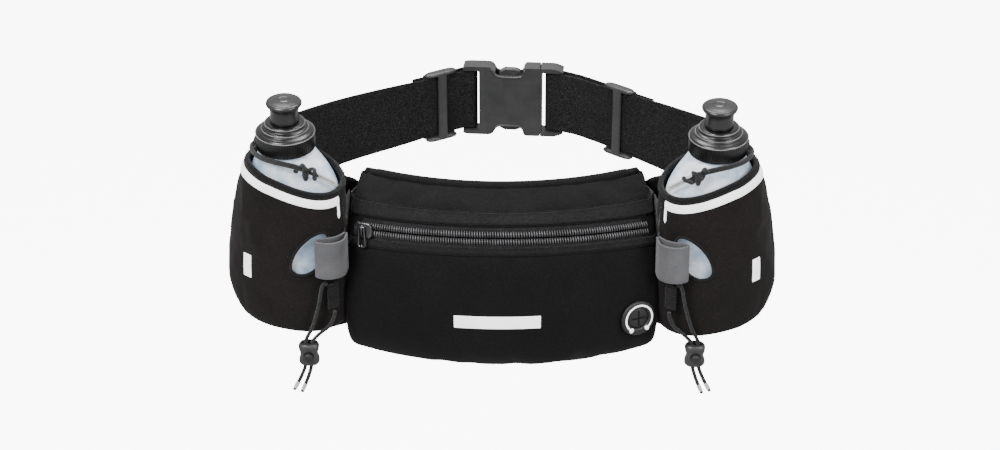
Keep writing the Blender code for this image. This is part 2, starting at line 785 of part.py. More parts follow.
ANCHOR = {"left": (-99.6, -116.8, -33.0), "right": (99.6, -116.8, -34.0)}
LOCK = {"left": (-115.0, -120.0, -70.0), "right": (115.0, -120.0, -71.0)}
STRAND_RADIUS = 1.1
# Cord routes, left side: one strand leaves the top of the anchor, the other its lower end
STRANDS = {
    "a": [(-103.2, -119.4, -24.0), (-104.4, -120.8, -23.0), (-106.0, -121.2, -26.4),
          (-108.0, -120.8, -37.0), (-112.2, -120.4, -52.0), (-116.4, -120.0, -61.0),
          (-116.8, -120.0, -68.0), (-117.4, -120.0, -78.0), (-120.6, -119.8, -87.0),
          (-125.0, -119.4, -96.0)],
    "b": [(-98.8, -118.6, -42.4), (-99.4, -119.0, -46.0), (-102.4, -119.6, -52.0),
          (-108.6, -120.0, -57.4), (-112.6, -120.0, -62.4), (-113.2, -120.0, -68.0),
          (-113.8, -120.0, -78.0), (-116.6, -119.8, -88.0), (-120.4, -119.4, -97.4)],
}


def build_bib(side):
    ax, ay, az = ANCHOR[side]
    lx, ly, lz = LOCK[side]
    turn = turned((ax, ay), 35 if side == "left" else -35, az)
    slab("bib_anchor_" + side, turn, (-4.0, -0.9, -8.0), (4.0, 0.9, 8.0), webbing())
    drop = az - ANCHOR["left"][2]
    for name, route in STRANDS.items():
        path = [mirror((x, y, z + drop), side) for x, y, z in curve_points(route, 3)]
        cord(f"bib_cord_{side}_{name}", path, STRAND_RADIUS, cord_black())
    body = Place((lx, ly, lz), (1, 0, 0), (0, 1, 0), (0, 0, 1))
    shell = prism("cord_lock_" + side, body, rounded_rect(6.2, 4.8, 3.0, 3), -7.0, 7.0,
                  buckle_plastic(), axis="z", origin=(lx, ly, lz))
    hole = prism("lock_hole_" + side, body, rounded_rect(3.6, 1.7, 1.4, 2), -9.0, 9.0,
                 buckle_plastic(), axis="z")
    bore = prism("lock_bore_" + side, body, ellipse(3.0, 3.0, 16), -9.0, -1.0, buckle_plastic())
    cut(shell, [hole, bore])
    prism("cord_lock_button_" + side, body, ellipse(2.6, 2.6, 16), -7.6, -3.0, rubber_black(),
          smooth=True, origin=(lx, ly - 7.6, lz))


# ---------------------------------------------------------------- strap, sliders and buckle

def strap_path(points, side):
    """Inner run, turn around the buckle bar, and the outer run back past the slider."""
    buckle = turned(BUCKLE_CENTRE, BUCKLE_TURN)
    sign = -1 if side == "left" else 1
    reach = 3.7
    bar = BAR_INNER[side]
    run = curve_points(points, 3)
    bend = [buckle.point(sign * (bar + BAR_WIDTH), -reach, 0)[:2]]
    for k in range(7):
        a = math.radians(-90 + 180 * k / 6)
        bend.append(buckle.point(sign * (bar + 1.9 - reach * math.cos(a)),
                                 reach * math.sin(a), 0)[:2])
    bend.append(buckle.point(sign * (bar + BAR_WIDTH), reach, 0)[:2])
    tail = 9 if side == "left" else 16
    side_of = 1 if side == "left" else -1
    back = offset_path(run, RETURN_OFFSET * side_of)[-tail:]
    back.reverse()
    return [np.array(p[:2], float) for p in run] + [np.array(p) for p in bend] + back, len(run)


def build_strap(points, side):
    path, run = strap_path(points, side)
    share = [min(i / (run * 0.8), 1.0) for i in range(len(path))]
    low = [-STRAP_WIDE_LOW + (STRAP_WIDE_LOW - STRAP_NARROW) * k for k in share]
    high = [STRAP_WIDE_HIGH + (STRAP_NARROW - STRAP_WIDE_HIGH) * k for k in share]
    pivot = (STRAP_PIVOT[0] if side == "left" else -STRAP_PIVOT[0], STRAP_PIVOT[1], 0)
    ribbon("strap_" + side, path, low, high, STRAP_THICK, webbing(), origin=pivot)
    tab = [mirror(p, side) for p in [(-145.6, -42.6), (-149.9, -34.6)]]
    out = offset_path(tab, (-WING_THICK / 2 - 1.1) * (1 if side == "left" else -1))
    ribbon("strap_anchor_" + side, out, [-24.0] * 2, [24.0] * 2, 1.2, webbing())


def build_slider(spot, side):
    place = turned(spot[:2], spot[2])
    h = STRAP_NARROW + 4.2
    body = slab("strap_slider_" + side, place, (-SLIDER_HALF, -3.6, -h), (SLIDER_HALF, 3.4, h),
                buckle_plastic(), origin=place.point(0, 0, 0))
    w = STRAP_NARROW + 1.6
    tools = [slab("slider_gap_a_" + side, place, (-20, -1.3, -w), (20, 1.3, w), buckle_plastic()),
             slab("slider_gap_b_" + side, place, (-20, -9, -w), (-3.4, 1.3, w), buckle_plastic()),
             slab("slider_gap_c_" + side, place, (3.4, -9, -w), (20, 1.3, w), buckle_plastic()),
             slab("slider_gap_d_" + side, place, (-7.4, -1.3, -w), (7.4, 9, w), buckle_plastic())]
    cut(body, tools)


def build_buckle():
    place = turned(BUCKLE_CENTRE, BUCKLE_TURN)
    h, t = BUCKLE_HALF_HEIGHT, BUCKLE_HALF_THICK
    w = STRAP_NARROW + 0.8
    plastic = buckle_plastic()
    bar, end = BAR_INNER["left"], ARM_END["left"]
    female = slab("buckle_female", place, (-end, -t, -h), (BODY_END, t, h), plastic,
                  origin=place.point(0, 0, 0))
    cut(female, [
        slab("female_cavity", place, (-14.5, -4.2, -20.5), (40.0, 4.2, 20.5), plastic),
        slab("female_slot", place, (-bar, -20, -w), (BODY_START, 20, w), plastic),
        slab("female_above_bar", place, (-50, 1.8, -w), (BODY_START, 20, w), plastic),
        slab("female_below_bar", place, (-50, -20, -w), (BODY_START, -1.8, w), plastic),
        slab("female_end", place, (-50, -20, -w), (-bar - BAR_WIDTH, 20, w), plastic),
        slab("female_window_top", place, (WINDOW_START, -20, WINDOW_DEPTH), (WINDOW_END, 20, 40),
             plastic),
        slab("female_window_low", place, (WINDOW_START, -20, -40), (WINDOW_END, 20, -WINDOW_DEPTH),
             plastic),
    ])

    bar, end = BAR_INNER["right"], ARM_END["right"]
    edge = BODY_END + GAP
    outline = [(-9.0, -4.0), (-9.0, 4.0), (11.0, 5.5), (11.0, 19.0), (edge, 19.0), (edge, h),
               (end - 3, h), (end, h - 4), (end, 4 - h), (end - 3, -h), (edge, -h), (edge, -19.0),
               (11.0, -19.0), (11.0, -5.5)]
    male = prism("buckle_male", place, outline, -t, t, plastic, origin=place.point(BODY_END, 0, 0))
    cut(male, [
        slab("male_slot", place, (edge + 1.8, -20, -w), (bar, 20, w), plastic),
        slab("male_above_bar", place, (bar - 2, 1.8, -w), (60, 20, w), plastic),
        slab("male_below_bar", place, (bar - 2, -20, -w), (60, -1.8, w), plastic),
        slab("male_end", place, (bar + BAR_WIDTH, -20, -w), (60, 20, w), plastic),
        slab("male_thin_top", place, (-30, 3.4, -40), (edge + 0.4, 20, 40), plastic),
        slab("male_thin_low", place, (-30, -20, -40), (edge + 0.4, -3.4, 40), plastic),
        slab("male_tongue_top", place, (-30, 1.6, -40), (12.0, 20, 40), plastic),
        slab("male_tongue_low", place, (-30, -20, -40), (12.0, -1.6, 40), plastic),
    ])

    outline = [(10.6, 12.0), (10.6, 17.0), (5.0, 17.4), (3.6, 21.4), (0.0, 22.6), (-7.0, 22.6),
               (-10.5, 20.8), (-11.5, 17.0), (-9.0, 13.2), (2.0, 13.0)]
    for name, up in (("buckle_prong_upper", 1), ("buckle_prong_lower", -1)):
        prism(name, place, [(a, b * up) for a, b in outline], -2.2, 2.2, plastic,
              origin=place.point(10.6, 0, 14.5 * up))


# ---------------------------------------------------------------- whole object

def build_side_binding(side):
    """The dark elastic strip on each end of the pouch, beside the holster."""
    sides = []
    sign = -1 if side == "left" else 1
    for out in (GAP + 0.1, GAP + 1.2):
        grid = []
        for height in (-30.0, -5.0, 8.0, 20.0):
            grid.append([arc_point(sign * (half_angle(height, d) + out / (BACK_RADIUS + 12)),
                                   BACK_RADIUS + d, height) for d in (3.0, 9.0, 15.0)])
        sides.append(grid)
    sheet("side_binding_" + side, sides[0], sides[1], webbing())


def build_mark():
    """A plain reflective strip low on the pouch's front."""
    patch("reflective_strip", -8.2, 6.6, 8.02, 8.38, -0.8, -GAP, reflective(), cols=6)


def main():
    clear_scene()
    build_pouch()
    build_zip()
    build_zip_slider()
    build_port()
    build_mark()
    for side in ("left", "right"):
        build_side_binding(side)
        build_wing(side)
        build_holster(side)
        build_bottle(side)
        build_retainer(side)
        build_gel_loop(side)
        build_bib(side)
    build_strap(STRAP_LEFT, "left")
    build_strap(STRAP_RIGHT, "right")
    build_slider(SLIDER_LEFT, "left")
    build_slider(SLIDER_RIGHT, "right")
    build_buckle()


main()
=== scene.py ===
"""Looks of the running hydration waist pack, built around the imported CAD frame.

Places and sizes are in millimetres in the frame's own axes (+X right, -Y towards the pouch at the
front, +Z up) and become metres through MM.
"""

import contextlib
import json
import math

import bmesh
import bpy
import numpy as np
from mathutils import Vector, noise
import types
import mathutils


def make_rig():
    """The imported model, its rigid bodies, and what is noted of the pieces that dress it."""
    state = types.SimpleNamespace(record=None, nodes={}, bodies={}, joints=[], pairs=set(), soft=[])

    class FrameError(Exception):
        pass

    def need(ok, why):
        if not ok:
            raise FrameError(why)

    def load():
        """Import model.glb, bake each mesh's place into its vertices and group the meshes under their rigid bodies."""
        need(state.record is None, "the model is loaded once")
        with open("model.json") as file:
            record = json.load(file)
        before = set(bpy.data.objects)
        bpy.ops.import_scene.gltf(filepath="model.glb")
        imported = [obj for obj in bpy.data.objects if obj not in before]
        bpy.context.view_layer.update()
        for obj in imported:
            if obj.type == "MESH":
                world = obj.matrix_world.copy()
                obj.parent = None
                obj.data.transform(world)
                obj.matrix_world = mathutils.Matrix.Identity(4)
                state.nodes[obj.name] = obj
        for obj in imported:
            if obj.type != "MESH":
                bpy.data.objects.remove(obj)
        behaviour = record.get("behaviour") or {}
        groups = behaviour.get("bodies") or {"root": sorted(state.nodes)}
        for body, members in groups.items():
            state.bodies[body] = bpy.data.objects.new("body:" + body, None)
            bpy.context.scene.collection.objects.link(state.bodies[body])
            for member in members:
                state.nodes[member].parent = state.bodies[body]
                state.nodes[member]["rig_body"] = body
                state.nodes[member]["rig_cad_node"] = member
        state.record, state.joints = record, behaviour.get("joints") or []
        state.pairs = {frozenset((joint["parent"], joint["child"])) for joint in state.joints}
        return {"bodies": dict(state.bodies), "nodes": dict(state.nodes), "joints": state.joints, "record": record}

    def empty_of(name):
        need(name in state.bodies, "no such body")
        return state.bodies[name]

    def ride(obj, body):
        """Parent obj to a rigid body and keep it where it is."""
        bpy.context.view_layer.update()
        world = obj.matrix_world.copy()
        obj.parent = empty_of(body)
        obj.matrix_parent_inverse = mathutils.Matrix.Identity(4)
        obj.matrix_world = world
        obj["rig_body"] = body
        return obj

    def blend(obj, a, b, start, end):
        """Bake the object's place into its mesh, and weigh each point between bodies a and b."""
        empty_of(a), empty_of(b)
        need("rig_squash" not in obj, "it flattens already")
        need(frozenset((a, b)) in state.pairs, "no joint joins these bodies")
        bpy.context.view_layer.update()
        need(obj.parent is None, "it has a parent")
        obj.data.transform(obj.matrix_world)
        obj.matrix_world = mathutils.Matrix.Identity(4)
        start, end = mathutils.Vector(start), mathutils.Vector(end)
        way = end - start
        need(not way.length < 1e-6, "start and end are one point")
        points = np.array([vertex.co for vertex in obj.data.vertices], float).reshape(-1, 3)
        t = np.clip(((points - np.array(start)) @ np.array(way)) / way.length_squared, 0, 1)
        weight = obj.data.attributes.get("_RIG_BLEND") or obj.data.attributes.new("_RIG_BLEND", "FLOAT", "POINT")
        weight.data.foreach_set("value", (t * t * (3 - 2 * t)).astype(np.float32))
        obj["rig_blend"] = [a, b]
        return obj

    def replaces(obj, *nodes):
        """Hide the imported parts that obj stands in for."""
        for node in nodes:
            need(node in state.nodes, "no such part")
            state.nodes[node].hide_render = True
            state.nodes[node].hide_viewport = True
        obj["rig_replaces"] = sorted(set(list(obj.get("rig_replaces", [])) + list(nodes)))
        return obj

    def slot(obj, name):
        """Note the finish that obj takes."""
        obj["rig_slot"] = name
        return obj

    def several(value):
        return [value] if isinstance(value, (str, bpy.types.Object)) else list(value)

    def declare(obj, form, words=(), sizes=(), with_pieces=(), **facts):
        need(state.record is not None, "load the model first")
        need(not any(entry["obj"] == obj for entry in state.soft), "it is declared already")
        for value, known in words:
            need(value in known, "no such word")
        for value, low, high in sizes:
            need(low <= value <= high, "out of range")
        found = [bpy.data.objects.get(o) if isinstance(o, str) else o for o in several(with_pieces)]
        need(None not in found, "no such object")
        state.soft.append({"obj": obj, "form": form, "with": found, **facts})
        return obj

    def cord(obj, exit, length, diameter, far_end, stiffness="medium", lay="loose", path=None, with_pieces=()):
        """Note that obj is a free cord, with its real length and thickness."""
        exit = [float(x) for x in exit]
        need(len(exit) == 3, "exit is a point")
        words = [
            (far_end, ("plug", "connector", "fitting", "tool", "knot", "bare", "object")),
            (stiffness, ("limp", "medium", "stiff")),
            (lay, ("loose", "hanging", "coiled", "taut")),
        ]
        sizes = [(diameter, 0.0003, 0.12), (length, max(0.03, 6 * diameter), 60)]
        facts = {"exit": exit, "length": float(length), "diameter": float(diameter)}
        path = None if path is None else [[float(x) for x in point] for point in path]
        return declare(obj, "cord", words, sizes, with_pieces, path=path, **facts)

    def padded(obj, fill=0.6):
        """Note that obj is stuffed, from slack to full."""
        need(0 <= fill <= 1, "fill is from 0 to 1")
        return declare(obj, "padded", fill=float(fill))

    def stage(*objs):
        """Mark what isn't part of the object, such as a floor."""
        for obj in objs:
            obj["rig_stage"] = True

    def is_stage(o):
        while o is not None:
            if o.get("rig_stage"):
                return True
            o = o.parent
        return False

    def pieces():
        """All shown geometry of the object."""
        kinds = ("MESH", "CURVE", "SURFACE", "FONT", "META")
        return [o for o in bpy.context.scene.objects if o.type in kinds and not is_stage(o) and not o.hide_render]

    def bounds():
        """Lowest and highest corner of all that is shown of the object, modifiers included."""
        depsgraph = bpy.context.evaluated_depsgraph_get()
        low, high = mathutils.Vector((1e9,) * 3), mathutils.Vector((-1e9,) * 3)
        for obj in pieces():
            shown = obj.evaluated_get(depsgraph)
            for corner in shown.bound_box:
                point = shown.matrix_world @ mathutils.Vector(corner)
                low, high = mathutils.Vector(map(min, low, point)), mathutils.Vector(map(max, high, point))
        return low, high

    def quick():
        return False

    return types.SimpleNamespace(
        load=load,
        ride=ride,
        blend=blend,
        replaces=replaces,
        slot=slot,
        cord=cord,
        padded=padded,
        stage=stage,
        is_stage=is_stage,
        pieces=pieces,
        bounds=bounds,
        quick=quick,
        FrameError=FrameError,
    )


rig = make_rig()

MM = 0.001
SIDES = ("left", "right")
SIGN = {"left": -1, "right": 1}  # of x on each side

# Camera, looking down at the middle of the pack; floor and lights
CAMERA_ELEVATION = 27.0
CAMERA_DISTANCE = 1300.0
CAMERA_AIM = (0.0, -33.0, -29.0)
CAMERA_LENS = 74.88
CAMERA_SHIFT = -0.002
FLOOR_DROP = 420.0  # how far the floor lies below the lowest point
BACKDROP_GLOW = 8.0
# painted glow: emission strength of the pale piping, which is no lamp
PIPING_PAINTED_GLOW = 1.2
WHITE = (1.0, 1.0, 1.0, 1.0)
WORLD_LIGHT = 0.8
CLOTH_FRAMES = 18
RING_START = 0.01  # keeps squared rings off the exact corners
TWILL_TURN = 0.785  # radians

# Front pouch: an arc about a vertical line at (0, ARC_Y)
ARC_Y = 69.0
BACK_RADIUS = 164.0
BACK_THICK = 2.8
POUCH_WALL = 2.2
POUCH_HALF_ANGLE_TOP = 28.8
POUCH_HALF_ANGLE_BOTTOM = 29.3
POUCH_END_SPLAY = 1.7
POUCH_CORNER = 7.0
BACK_TOP = 28.0
BACK_BOTTOM = -84.0
BACK_HALF_ANGLE = 30.2
TOP_ROLL_HALF_ANGLE = 28.6
# Side profile of the pouch: depth in front of the back, height, and drop at the ends
PROFILE = [
    (2.6, 28.6, 0.6),
    (10.5, 25.0, 0.4),
    (18.0, 19.6, 0.8),
    (23.0, 13.4, 3.1),
    (26.2, 7.0, 3.1),
    (28.0, 0.6, 3.1),
    (29.0, -2.6, 3.6),
    (32.5, -20.0, 3.0),
    (34.0, -40.0, 1.0),
    (32.8, -62.0, -1.0),
    (28.0, -75.5, -1.8),
    (18.0, -82.6, -2.0),
    (2.6, -85.4, -2.0),
]
END_VERSINE = 1.0 - math.cos(math.radians(27.5))  # the ends' full drop is at this angle
ZIP_REACH = 27.0
ZIP_TILT = 8.2
SLIDER_ANGLE = -24.8
TOOTH_PITCH = 1.5
PORT_ANGLE = 24.0
PORT_PLACE = 8.45
PORT_MARK_RADIUS = 8.6

# Wings behind the holsters, left side: plan point, lowest and highest height, lean weight
WING_THICK = 2.4
WING_ROWS = 22
WING_LEAN_FROM = -58.0  # the wing leans with the bottle above this height
WING = [
    (-84.8, -74.0, -72.0, 21.0, 0.0),
    (-96.0, -70.6, -77.0, 24.0, 0.5),
    (-108.0, -65.0, -84.0, 23.0, 0.9),
    (-122.0, -58.2, -88.0, 21.0, 1.0),
    (-134.0, -52.0, -84.0, 21.0, 0.9),
    (-144.5, -44.0, -60.0, 24.0, 0.4),
    (-150.6, -33.0, -26.0, 26.0, 0.0),
]

# Bottles and holsters, left side
BOTTLE_BASE = (-126.6, -86.4)
BOTTLE_SEAT = {"left": -55.0, "right": -58.0}
BOTTLE_LEAN = (0.012, -0.09)
FACING = 26.0
HOLSTER_DROP = 2.6
HOLSTER_WALL = 1.8
HOLSTER_SIZE = [
    (0.0, 35.6, 42.0, 25.4, 25.0),
    (40.0, 35.6, 39.0, 25.6, 25.4),
    (72.0, 35.6, 33.6, 25.4, 25.4),
    (92.0, 35.0, 28.6, 24.0, 24.4),
    (108.0, 32.5, 21.8, 21.5, 22.0),
]
HOLSTER_POWER = 2 / 2.25
CORNER_CUT = 11.0
CORNER_CUT_HEIGHT = 20.0
RIM_NEAR = 94.0
RIM_FAR = 106.5
BINDING = 3.4
PIPING = 5.4
PIPING_START = 4.0
WINDOW = {"phi": 43.0, "h": 57.0, "half_w": 11.0, "half_h": 13.5}
BOTTLE = [
    (0.0, 26.0, 18.0, 2.0),
    (2.0, 29.2, 20.4, 2.0),
    (8.0, 31.6, 22.0, 1.4),
    (40.0, 32.0, 22.4, 1.0),
    (72.0, 31.2, 22.4, 1.6),
    (84.0, 29.6, 21.6, 2.8),
    (92.0, 26.8, 20.4, 3.2),
    (99.0, 23.0, 18.8, 2.6),
    (105.0, 18.6, 17.0, 1.2),
    (109.0, 16.2, 15.8, 0.0),
    (110.0, 14.4, 14.4, 0.0),
    (118.0, 14.2, 14.2, 0.0),
]
BOTTLE_WALL = 1.2
CAP_BOTTOM = 110.4
CAP_RADIUS = 17.2
CAP_RIBS = 72
NOZZLE_BOTTOM = 127.5
NOZZLE_TOP = 141.0

# Gel loops, retainers and bib cords
GEL_BAND = [(-2.0, 2.4), (4.0, 4.2), (14.0, 6.8), (26.0, 7.8), (37.0, 7.0), (43.4, 4.4),
            (38.0, 1.9), (26.0, 1.3), (14.0, 1.2), (4.0, 1.1), (-2.0, 1.0)]
GEL_LOW, GEL_HIGH, GEL_THICK = 41.0, 66.0, 1.2
GEL_RISE, GEL_MIDDLE = 0.1, 20.0  # the loop rises towards its folded edge, per degree
RETAINER = [(-19.2, 2.0, 109.4), (-17.8, 9.0, 110.0), (-12.2, 15.6, 110.6), (-4.0, 19.2, 110.8),
            (4.5, 20.2, 111.0), (12.5, 19.4, 110.8), (19.0, 17.2, 109.4), (25.5, 13.6, 106.0),
            (31.0, 8.6, 100.8), (34.6, 3.0, 95.0)]
ANCHOR = {"left": (-99.6, -116.8, -33.0), "right": (99.6, -116.8, -34.0)}
LOCK = {"left": (-115.0, -120.0, -70.0), "right": (115.0, -120.0, -71.0)}
STRAND_RADIUS = 1.1
STRANDS = {
    "a": [(-103.2, -119.4, -24.0), (-104.4, -120.8, -23.0), (-106.0, -121.2, -26.4),
          (-108.0, -120.8, -37.0), (-112.2, -120.4, -52.0), (-116.4, -120.0, -61.0),
          (-116.8, -120.0, -68.0), (-117.4, -120.0, -78.0), (-120.6, -119.8, -87.0),
          (-125.0, -119.4, -96.0)],
    "b": [(-98.8, -118.6, -42.4), (-99.4, -119.0, -46.0), (-102.4, -119.6, -52.0),
          (-108.6, -120.0, -57.4), (-112.6, -120.0, -62.4), (-113.2, -120.0, -68.0),
          (-113.8, -120.0, -78.0), (-116.6, -119.8, -88.0), (-120.4, -119.4, -97.4)],
}

# Waist strap
STRAP_WIDE_LOW, STRAP_WIDE_HIGH, STRAP_NARROW = 27.0, 25.0, 20.8
STRAP_THICK = 1.6
STRAP_ROWS = 25
OVERLAP_HEIGHTS = (-26.0, 24.8)
STRAP = {
    "left": [(-151.6, -30.8), (-153.0, -17.0), (-149.0, -2.0), (-140.0, 12.0), (-127.0, 26.0),
             (-110.0, 41.0), (-92.0, 54.5), (-72.0, 67.5), (-60.0, 75.2), (-50.5, 81.3),
             (-41.0, 87.4), (-33.0, 92.5)],
    "right": [(151.6, -30.8), (151.8, -18.0), (146.0, -5.0), (134.5, 8.5), (120.0, 22.6),
              (104.0, 37.2), (95.0, 45.2), (86.0, 53.2), (77.0, 61.2), (68.0, 69.2),
              (58.0, 78.0), (49.5, 85.4)],
}
RETURN_OFFSET = 5.0
RETURN_POINTS = {"left": 9, "right": 16}
BUCKLE_CENTRE = (9.0, 98.0)
BUCKLE_TURN = -5.0
BUCKLE_HALF_HEIGHT, BUCKLE_HALF_THICK = 24.6, 6.0
SLIDER_SPOT = {"left": (-41.0, 87.4, 32.6), "right": (77.0, 61.2, -41.6)}
BAR_INNER = {"left": 28.0, "right": 22.7}
BAR_WIDTH = 5.4


# ---------------------------------------------------------------- mesh helpers

@contextlib.contextmanager
def editing(mesh):
    """Opens a mesh for editing, and writes it back."""
    work = bmesh.new()
    work.from_mesh(mesh)
    yield work
    work.to_mesh(mesh)
    work.free()


def put(target, **values):
    """Sets several properties at once."""
    for key, value in values.items():
        setattr(target, key, value)


def link_object(name, data):
    obj = bpy.data.objects.new(name, data)
    bpy.context.collection.objects.link(obj)
    return obj


def shade(obj, sharp):
    """Smooth shading, with the edges above an angle kept sharp."""
    obj.data.shade_smooth()
    obj.data.set_sharp_from_angle(angle=math.radians(sharp))
    return obj


def make_object(name, verts, faces, mat, sharp=50.0):
    mesh = bpy.data.meshes.new(name)
    mesh.from_pydata([Vector(v) * MM for v in verts], [], faces)
    with editing(mesh) as work:
        bmesh.ops.recalc_face_normals(work, faces=work.faces)
    mesh.materials.append(mat)
    return shade(link_object(name, mesh), sharp)


def span(low, high, count):
    """Evenly spaced values from low to high."""
    return [low + (high - low) * k / (count - 1) for k in range(count)]


def turns(count, start=0.0):
    """Angles once around, in radians."""
    return [2 * math.pi * k / count + start for k in range(count)]


def signed_power(value, power):
    """A power that keeps the sign: under 1, it squares up a sine or cosine."""
    return math.copysign(abs(value) ** power, value)


def points_of(rows):
    return [point for row in rows for point in row]


def quads(rows, cols, around=False, closed=False, start=0):
    """Faces between rows of points: around joins each row's ends, closed the last row's first."""
    faces = []
    for r in range(rows if closed else rows - 1):
        low, high = start + r * cols, start + (r + 1) % rows * cols
        for c in range(cols if around else cols - 1):
            d = (c + 1) % cols
            faces.append((low + c, low + d, high + d, high + c))
    return faces


def skin(name, rows, mat):
    """An open surface through equal rows of points."""
    return make_object(name, points_of(rows), quads(len(rows), len(rows[0])), mat)


def sheet(name, front, back, mat, **extra):
    """A closed skin between two equal grids of points."""
    rows, cols = len(front), len(front[0])
    half, last = rows * cols, (rows - 1) * cols
    faces = []
    for a, b, c, d in quads(rows, cols):
        faces += [(a, b, c, d), (half + d, half + c, half + b, half + a)]
    for a in range(cols - 1):
        faces.append((a, half + a, half + a + 1, a + 1))
        faces.append((last + a + 1, half + last + a + 1, half + last + a, last + a))
    for a in range(0, last, cols):
        b, c, d = a + cols, a + cols - 1, a + 2 * cols - 1
        faces += [(b, half + b, half + a, a), (c, half + c, half + d, d)]
    return make_object(name, points_of(front) + points_of(back), faces, mat, **extra)


def slab(name, grids, mat, width, segments=2):
    """A thin piece between two grids, with rounded edges."""
    return bevel(sheet(name, *grids, mat), width, segments)


def stack(name, rings, mat):
    """A closed skin through a list of rings, with a fan of triangles over each end."""
    count = len(rings[0])
    verts, faces = points_of(rings), quads(len(rings), count, around=True)
    for start in (0, (len(rings) - 1) * count):
        pole = len(verts)
        verts.append(tuple(np.mean(np.array(verts[start:start + count]), axis=0)))
        faces += [(start + c, start + (c + 1) % count, pole) for c in range(count)]
    return make_object(name, verts, faces, mat)


def closed_rings(name, rings, mat):
    """Rings joined one to the next, and the last back to the first."""
    faces = quads(len(rings), len(rings[0]), around=True, closed=True)
    return make_object(name, points_of(rings), faces, mat)


def tube_rings(path, radius, sides, flat=1.0, closed=False):
    """Rings of points around a path, kept from twisting."""
    pts = [Vector(p) for p in path]
    count = len(pts)
    radii = radius if hasattr(radius, "__len__") else [radius] * count
    rings = []
    normal = None
    for i, point in enumerate(pts):
        before = pts[i - 1] if closed or i else pts[i]
        after = pts[(i + 1) % count] if closed or i < count - 1 else pts[i]
        along = (after - before).normalized()
        if normal is None:
            seed = Vector((0, 0, 1)) if abs(along.z) < 0.9 else Vector((1, 0, 0))
            normal = (seed - along * seed.dot(along)).normalized()
        else:
            normal = (normal - along * normal.dot(along)).normalized()
        across = along.cross(normal)
        rings.append([tuple(point + normal * radii[i] * math.cos(a)
                            + across * radii[i] * flat * math.sin(a)) for a in turns(sides)])
    return rings


def tube(name, path, radius, mat, sides=12, flat=1.0, closed=False):
    rings = tube_rings(path, radius, sides, flat, closed)
    return closed_rings(name, rings, mat) if closed else stack(name, rings, mat)


def rounded_path_radii(count, radius, ends=3):
    """Radii that close a tube's two ends like a rounded tip."""
    return [radius * math.sin(math.pi / 2 * min(1.0, (min(i, count - 1 - i) + 0.35) / ends))
            for i in range(count)]


def add_bar(verts, faces, rings):
    """Adds one short closed bar to a mesh of many."""
    base, sides = len(verts), len(rings[0])
    verts += points_of(rings)
    faces += quads(len(rings), sides, around=True, start=base)
    for end in (base, base + (len(rings) - 1) * sides):
        faces.append(tuple(range(end, end + sides)))


def stitches(name, path, mat, pitch, length, radius, closed=False):
    """A row of short thread stitches laid along a path, as one mesh."""
    pts = [Vector(p) for p in path] + ([Vector(path[0])] if closed else [])
    spans = [(b - a).length for a, b in zip(pts, pts[1:])]
    total = sum(spans)
    count = max(2, int(total / pitch))
    marks = np.cumsum([0.0] + spans)
    coords = np.array([tuple(p) for p in pts])

    def at(distance):
        return Vector([float(np.interp(distance, marks, coords[:, k])) for k in range(3)])

    verts, faces = [], []
    for k in range(count):
        start = (k + 0.5) * total / count - length / 2
        line = [at(start + length * t) for t in (0.0, 0.15, 0.85, 1.0)]
        add_bar(verts, faces, tube_rings(line, [radius * 0.4, radius, radius, radius * 0.4], 6))
    return make_object(name, verts, faces, mat)


def sew(name, path, mat, pitch, length, radius, slot, closed=False, body="pouch"):
    """A row of stitches, put on its body."""
    settle(stitches(name, path, mat, pitch, length, radius, closed), body, slot)


def curve_points(points, steps):
    """A smooth Catmull-Rom curve through given points, with steps pieces between each two."""
    pts = [np.array(p, float) for p in points]
    pts = [2 * pts[0] - pts[1]] + pts + [2 * pts[-1] - pts[-2]]
    out = []
    for i in range(1, len(pts) - 2):
        a, b, c, d = pts[i - 1:i + 3]
        for k in range(steps):
            t = k / steps
            out.append(0.5 * (2 * b + (c - a) * t + (2 * a - 5 * b + 4 * c - d) * t * t
                              + (3 * b - a - 3 * c + d) * t ** 3))
    out.append(pts[-2])
    return out


def plan_normals(path):
    """A unit normal at each point of a path in plan."""
    normals = []
    for i in range(len(path)):
        ends = [np.array(path[k][:2], float) for k in (max(i - 1, 0), min(i + 1, len(path) - 1))]
        step = ends[1] - ends[0]
        step /= np.linalg.norm(step)
        normals.append(np.array([-step[1], step[0]]))
    return normals


def offset_path(path, distance):
    """A path in plan, moved sideways."""
    return [np.array(p[:2]) + n * distance for p, n in zip(path, plan_normals(path))]


def modify(obj, name, kind, **values):
    put(obj.modifiers.new(name, kind), **values)
    return obj


def bevel(obj, width, segments=3, angle=35.0):
    return modify(obj, "edges", "BEVEL", width=width * MM, segments=segments,
                  limit_method="ANGLE", angle_limit=math.radians(angle), harden_normals=False)


def subdivide(obj, levels=1):
    return modify(obj, "smooth", "SUBSURF", levels=levels, render_levels=levels)


def rumple(obj, waves, seed=0.0):
    """Soft unevenness: moves points along their normals by layered noise, in millimetres."""
    moved = []
    for vert in obj.data.vertices:
        push = 0.0
        for size, amount in waves:
            spot = vert.co / (size * MM) + Vector((seed, seed * 0.7, seed * 1.3))
            push += noise.noise(spot) * amount
        moved.append(vert.co + vert.normal * push * MM)
    for vert, spot in zip(obj.data.vertices, moved):
        vert.co = spot
    obj.data.update()
    return obj


def apply_modifiers(obj):
    """Makes the modifiers' result the object's own mesh."""
    bpy.context.view_layer.update()
    graph = bpy.context.evaluated_depsgraph_get()
    mesh = bpy.data.meshes.new_from_object(obj.evaluated_get(graph))
    obj.modifiers.clear()
    old = obj.data
    obj.data = mesh
    bpy.data.meshes.remove(old)
    return obj


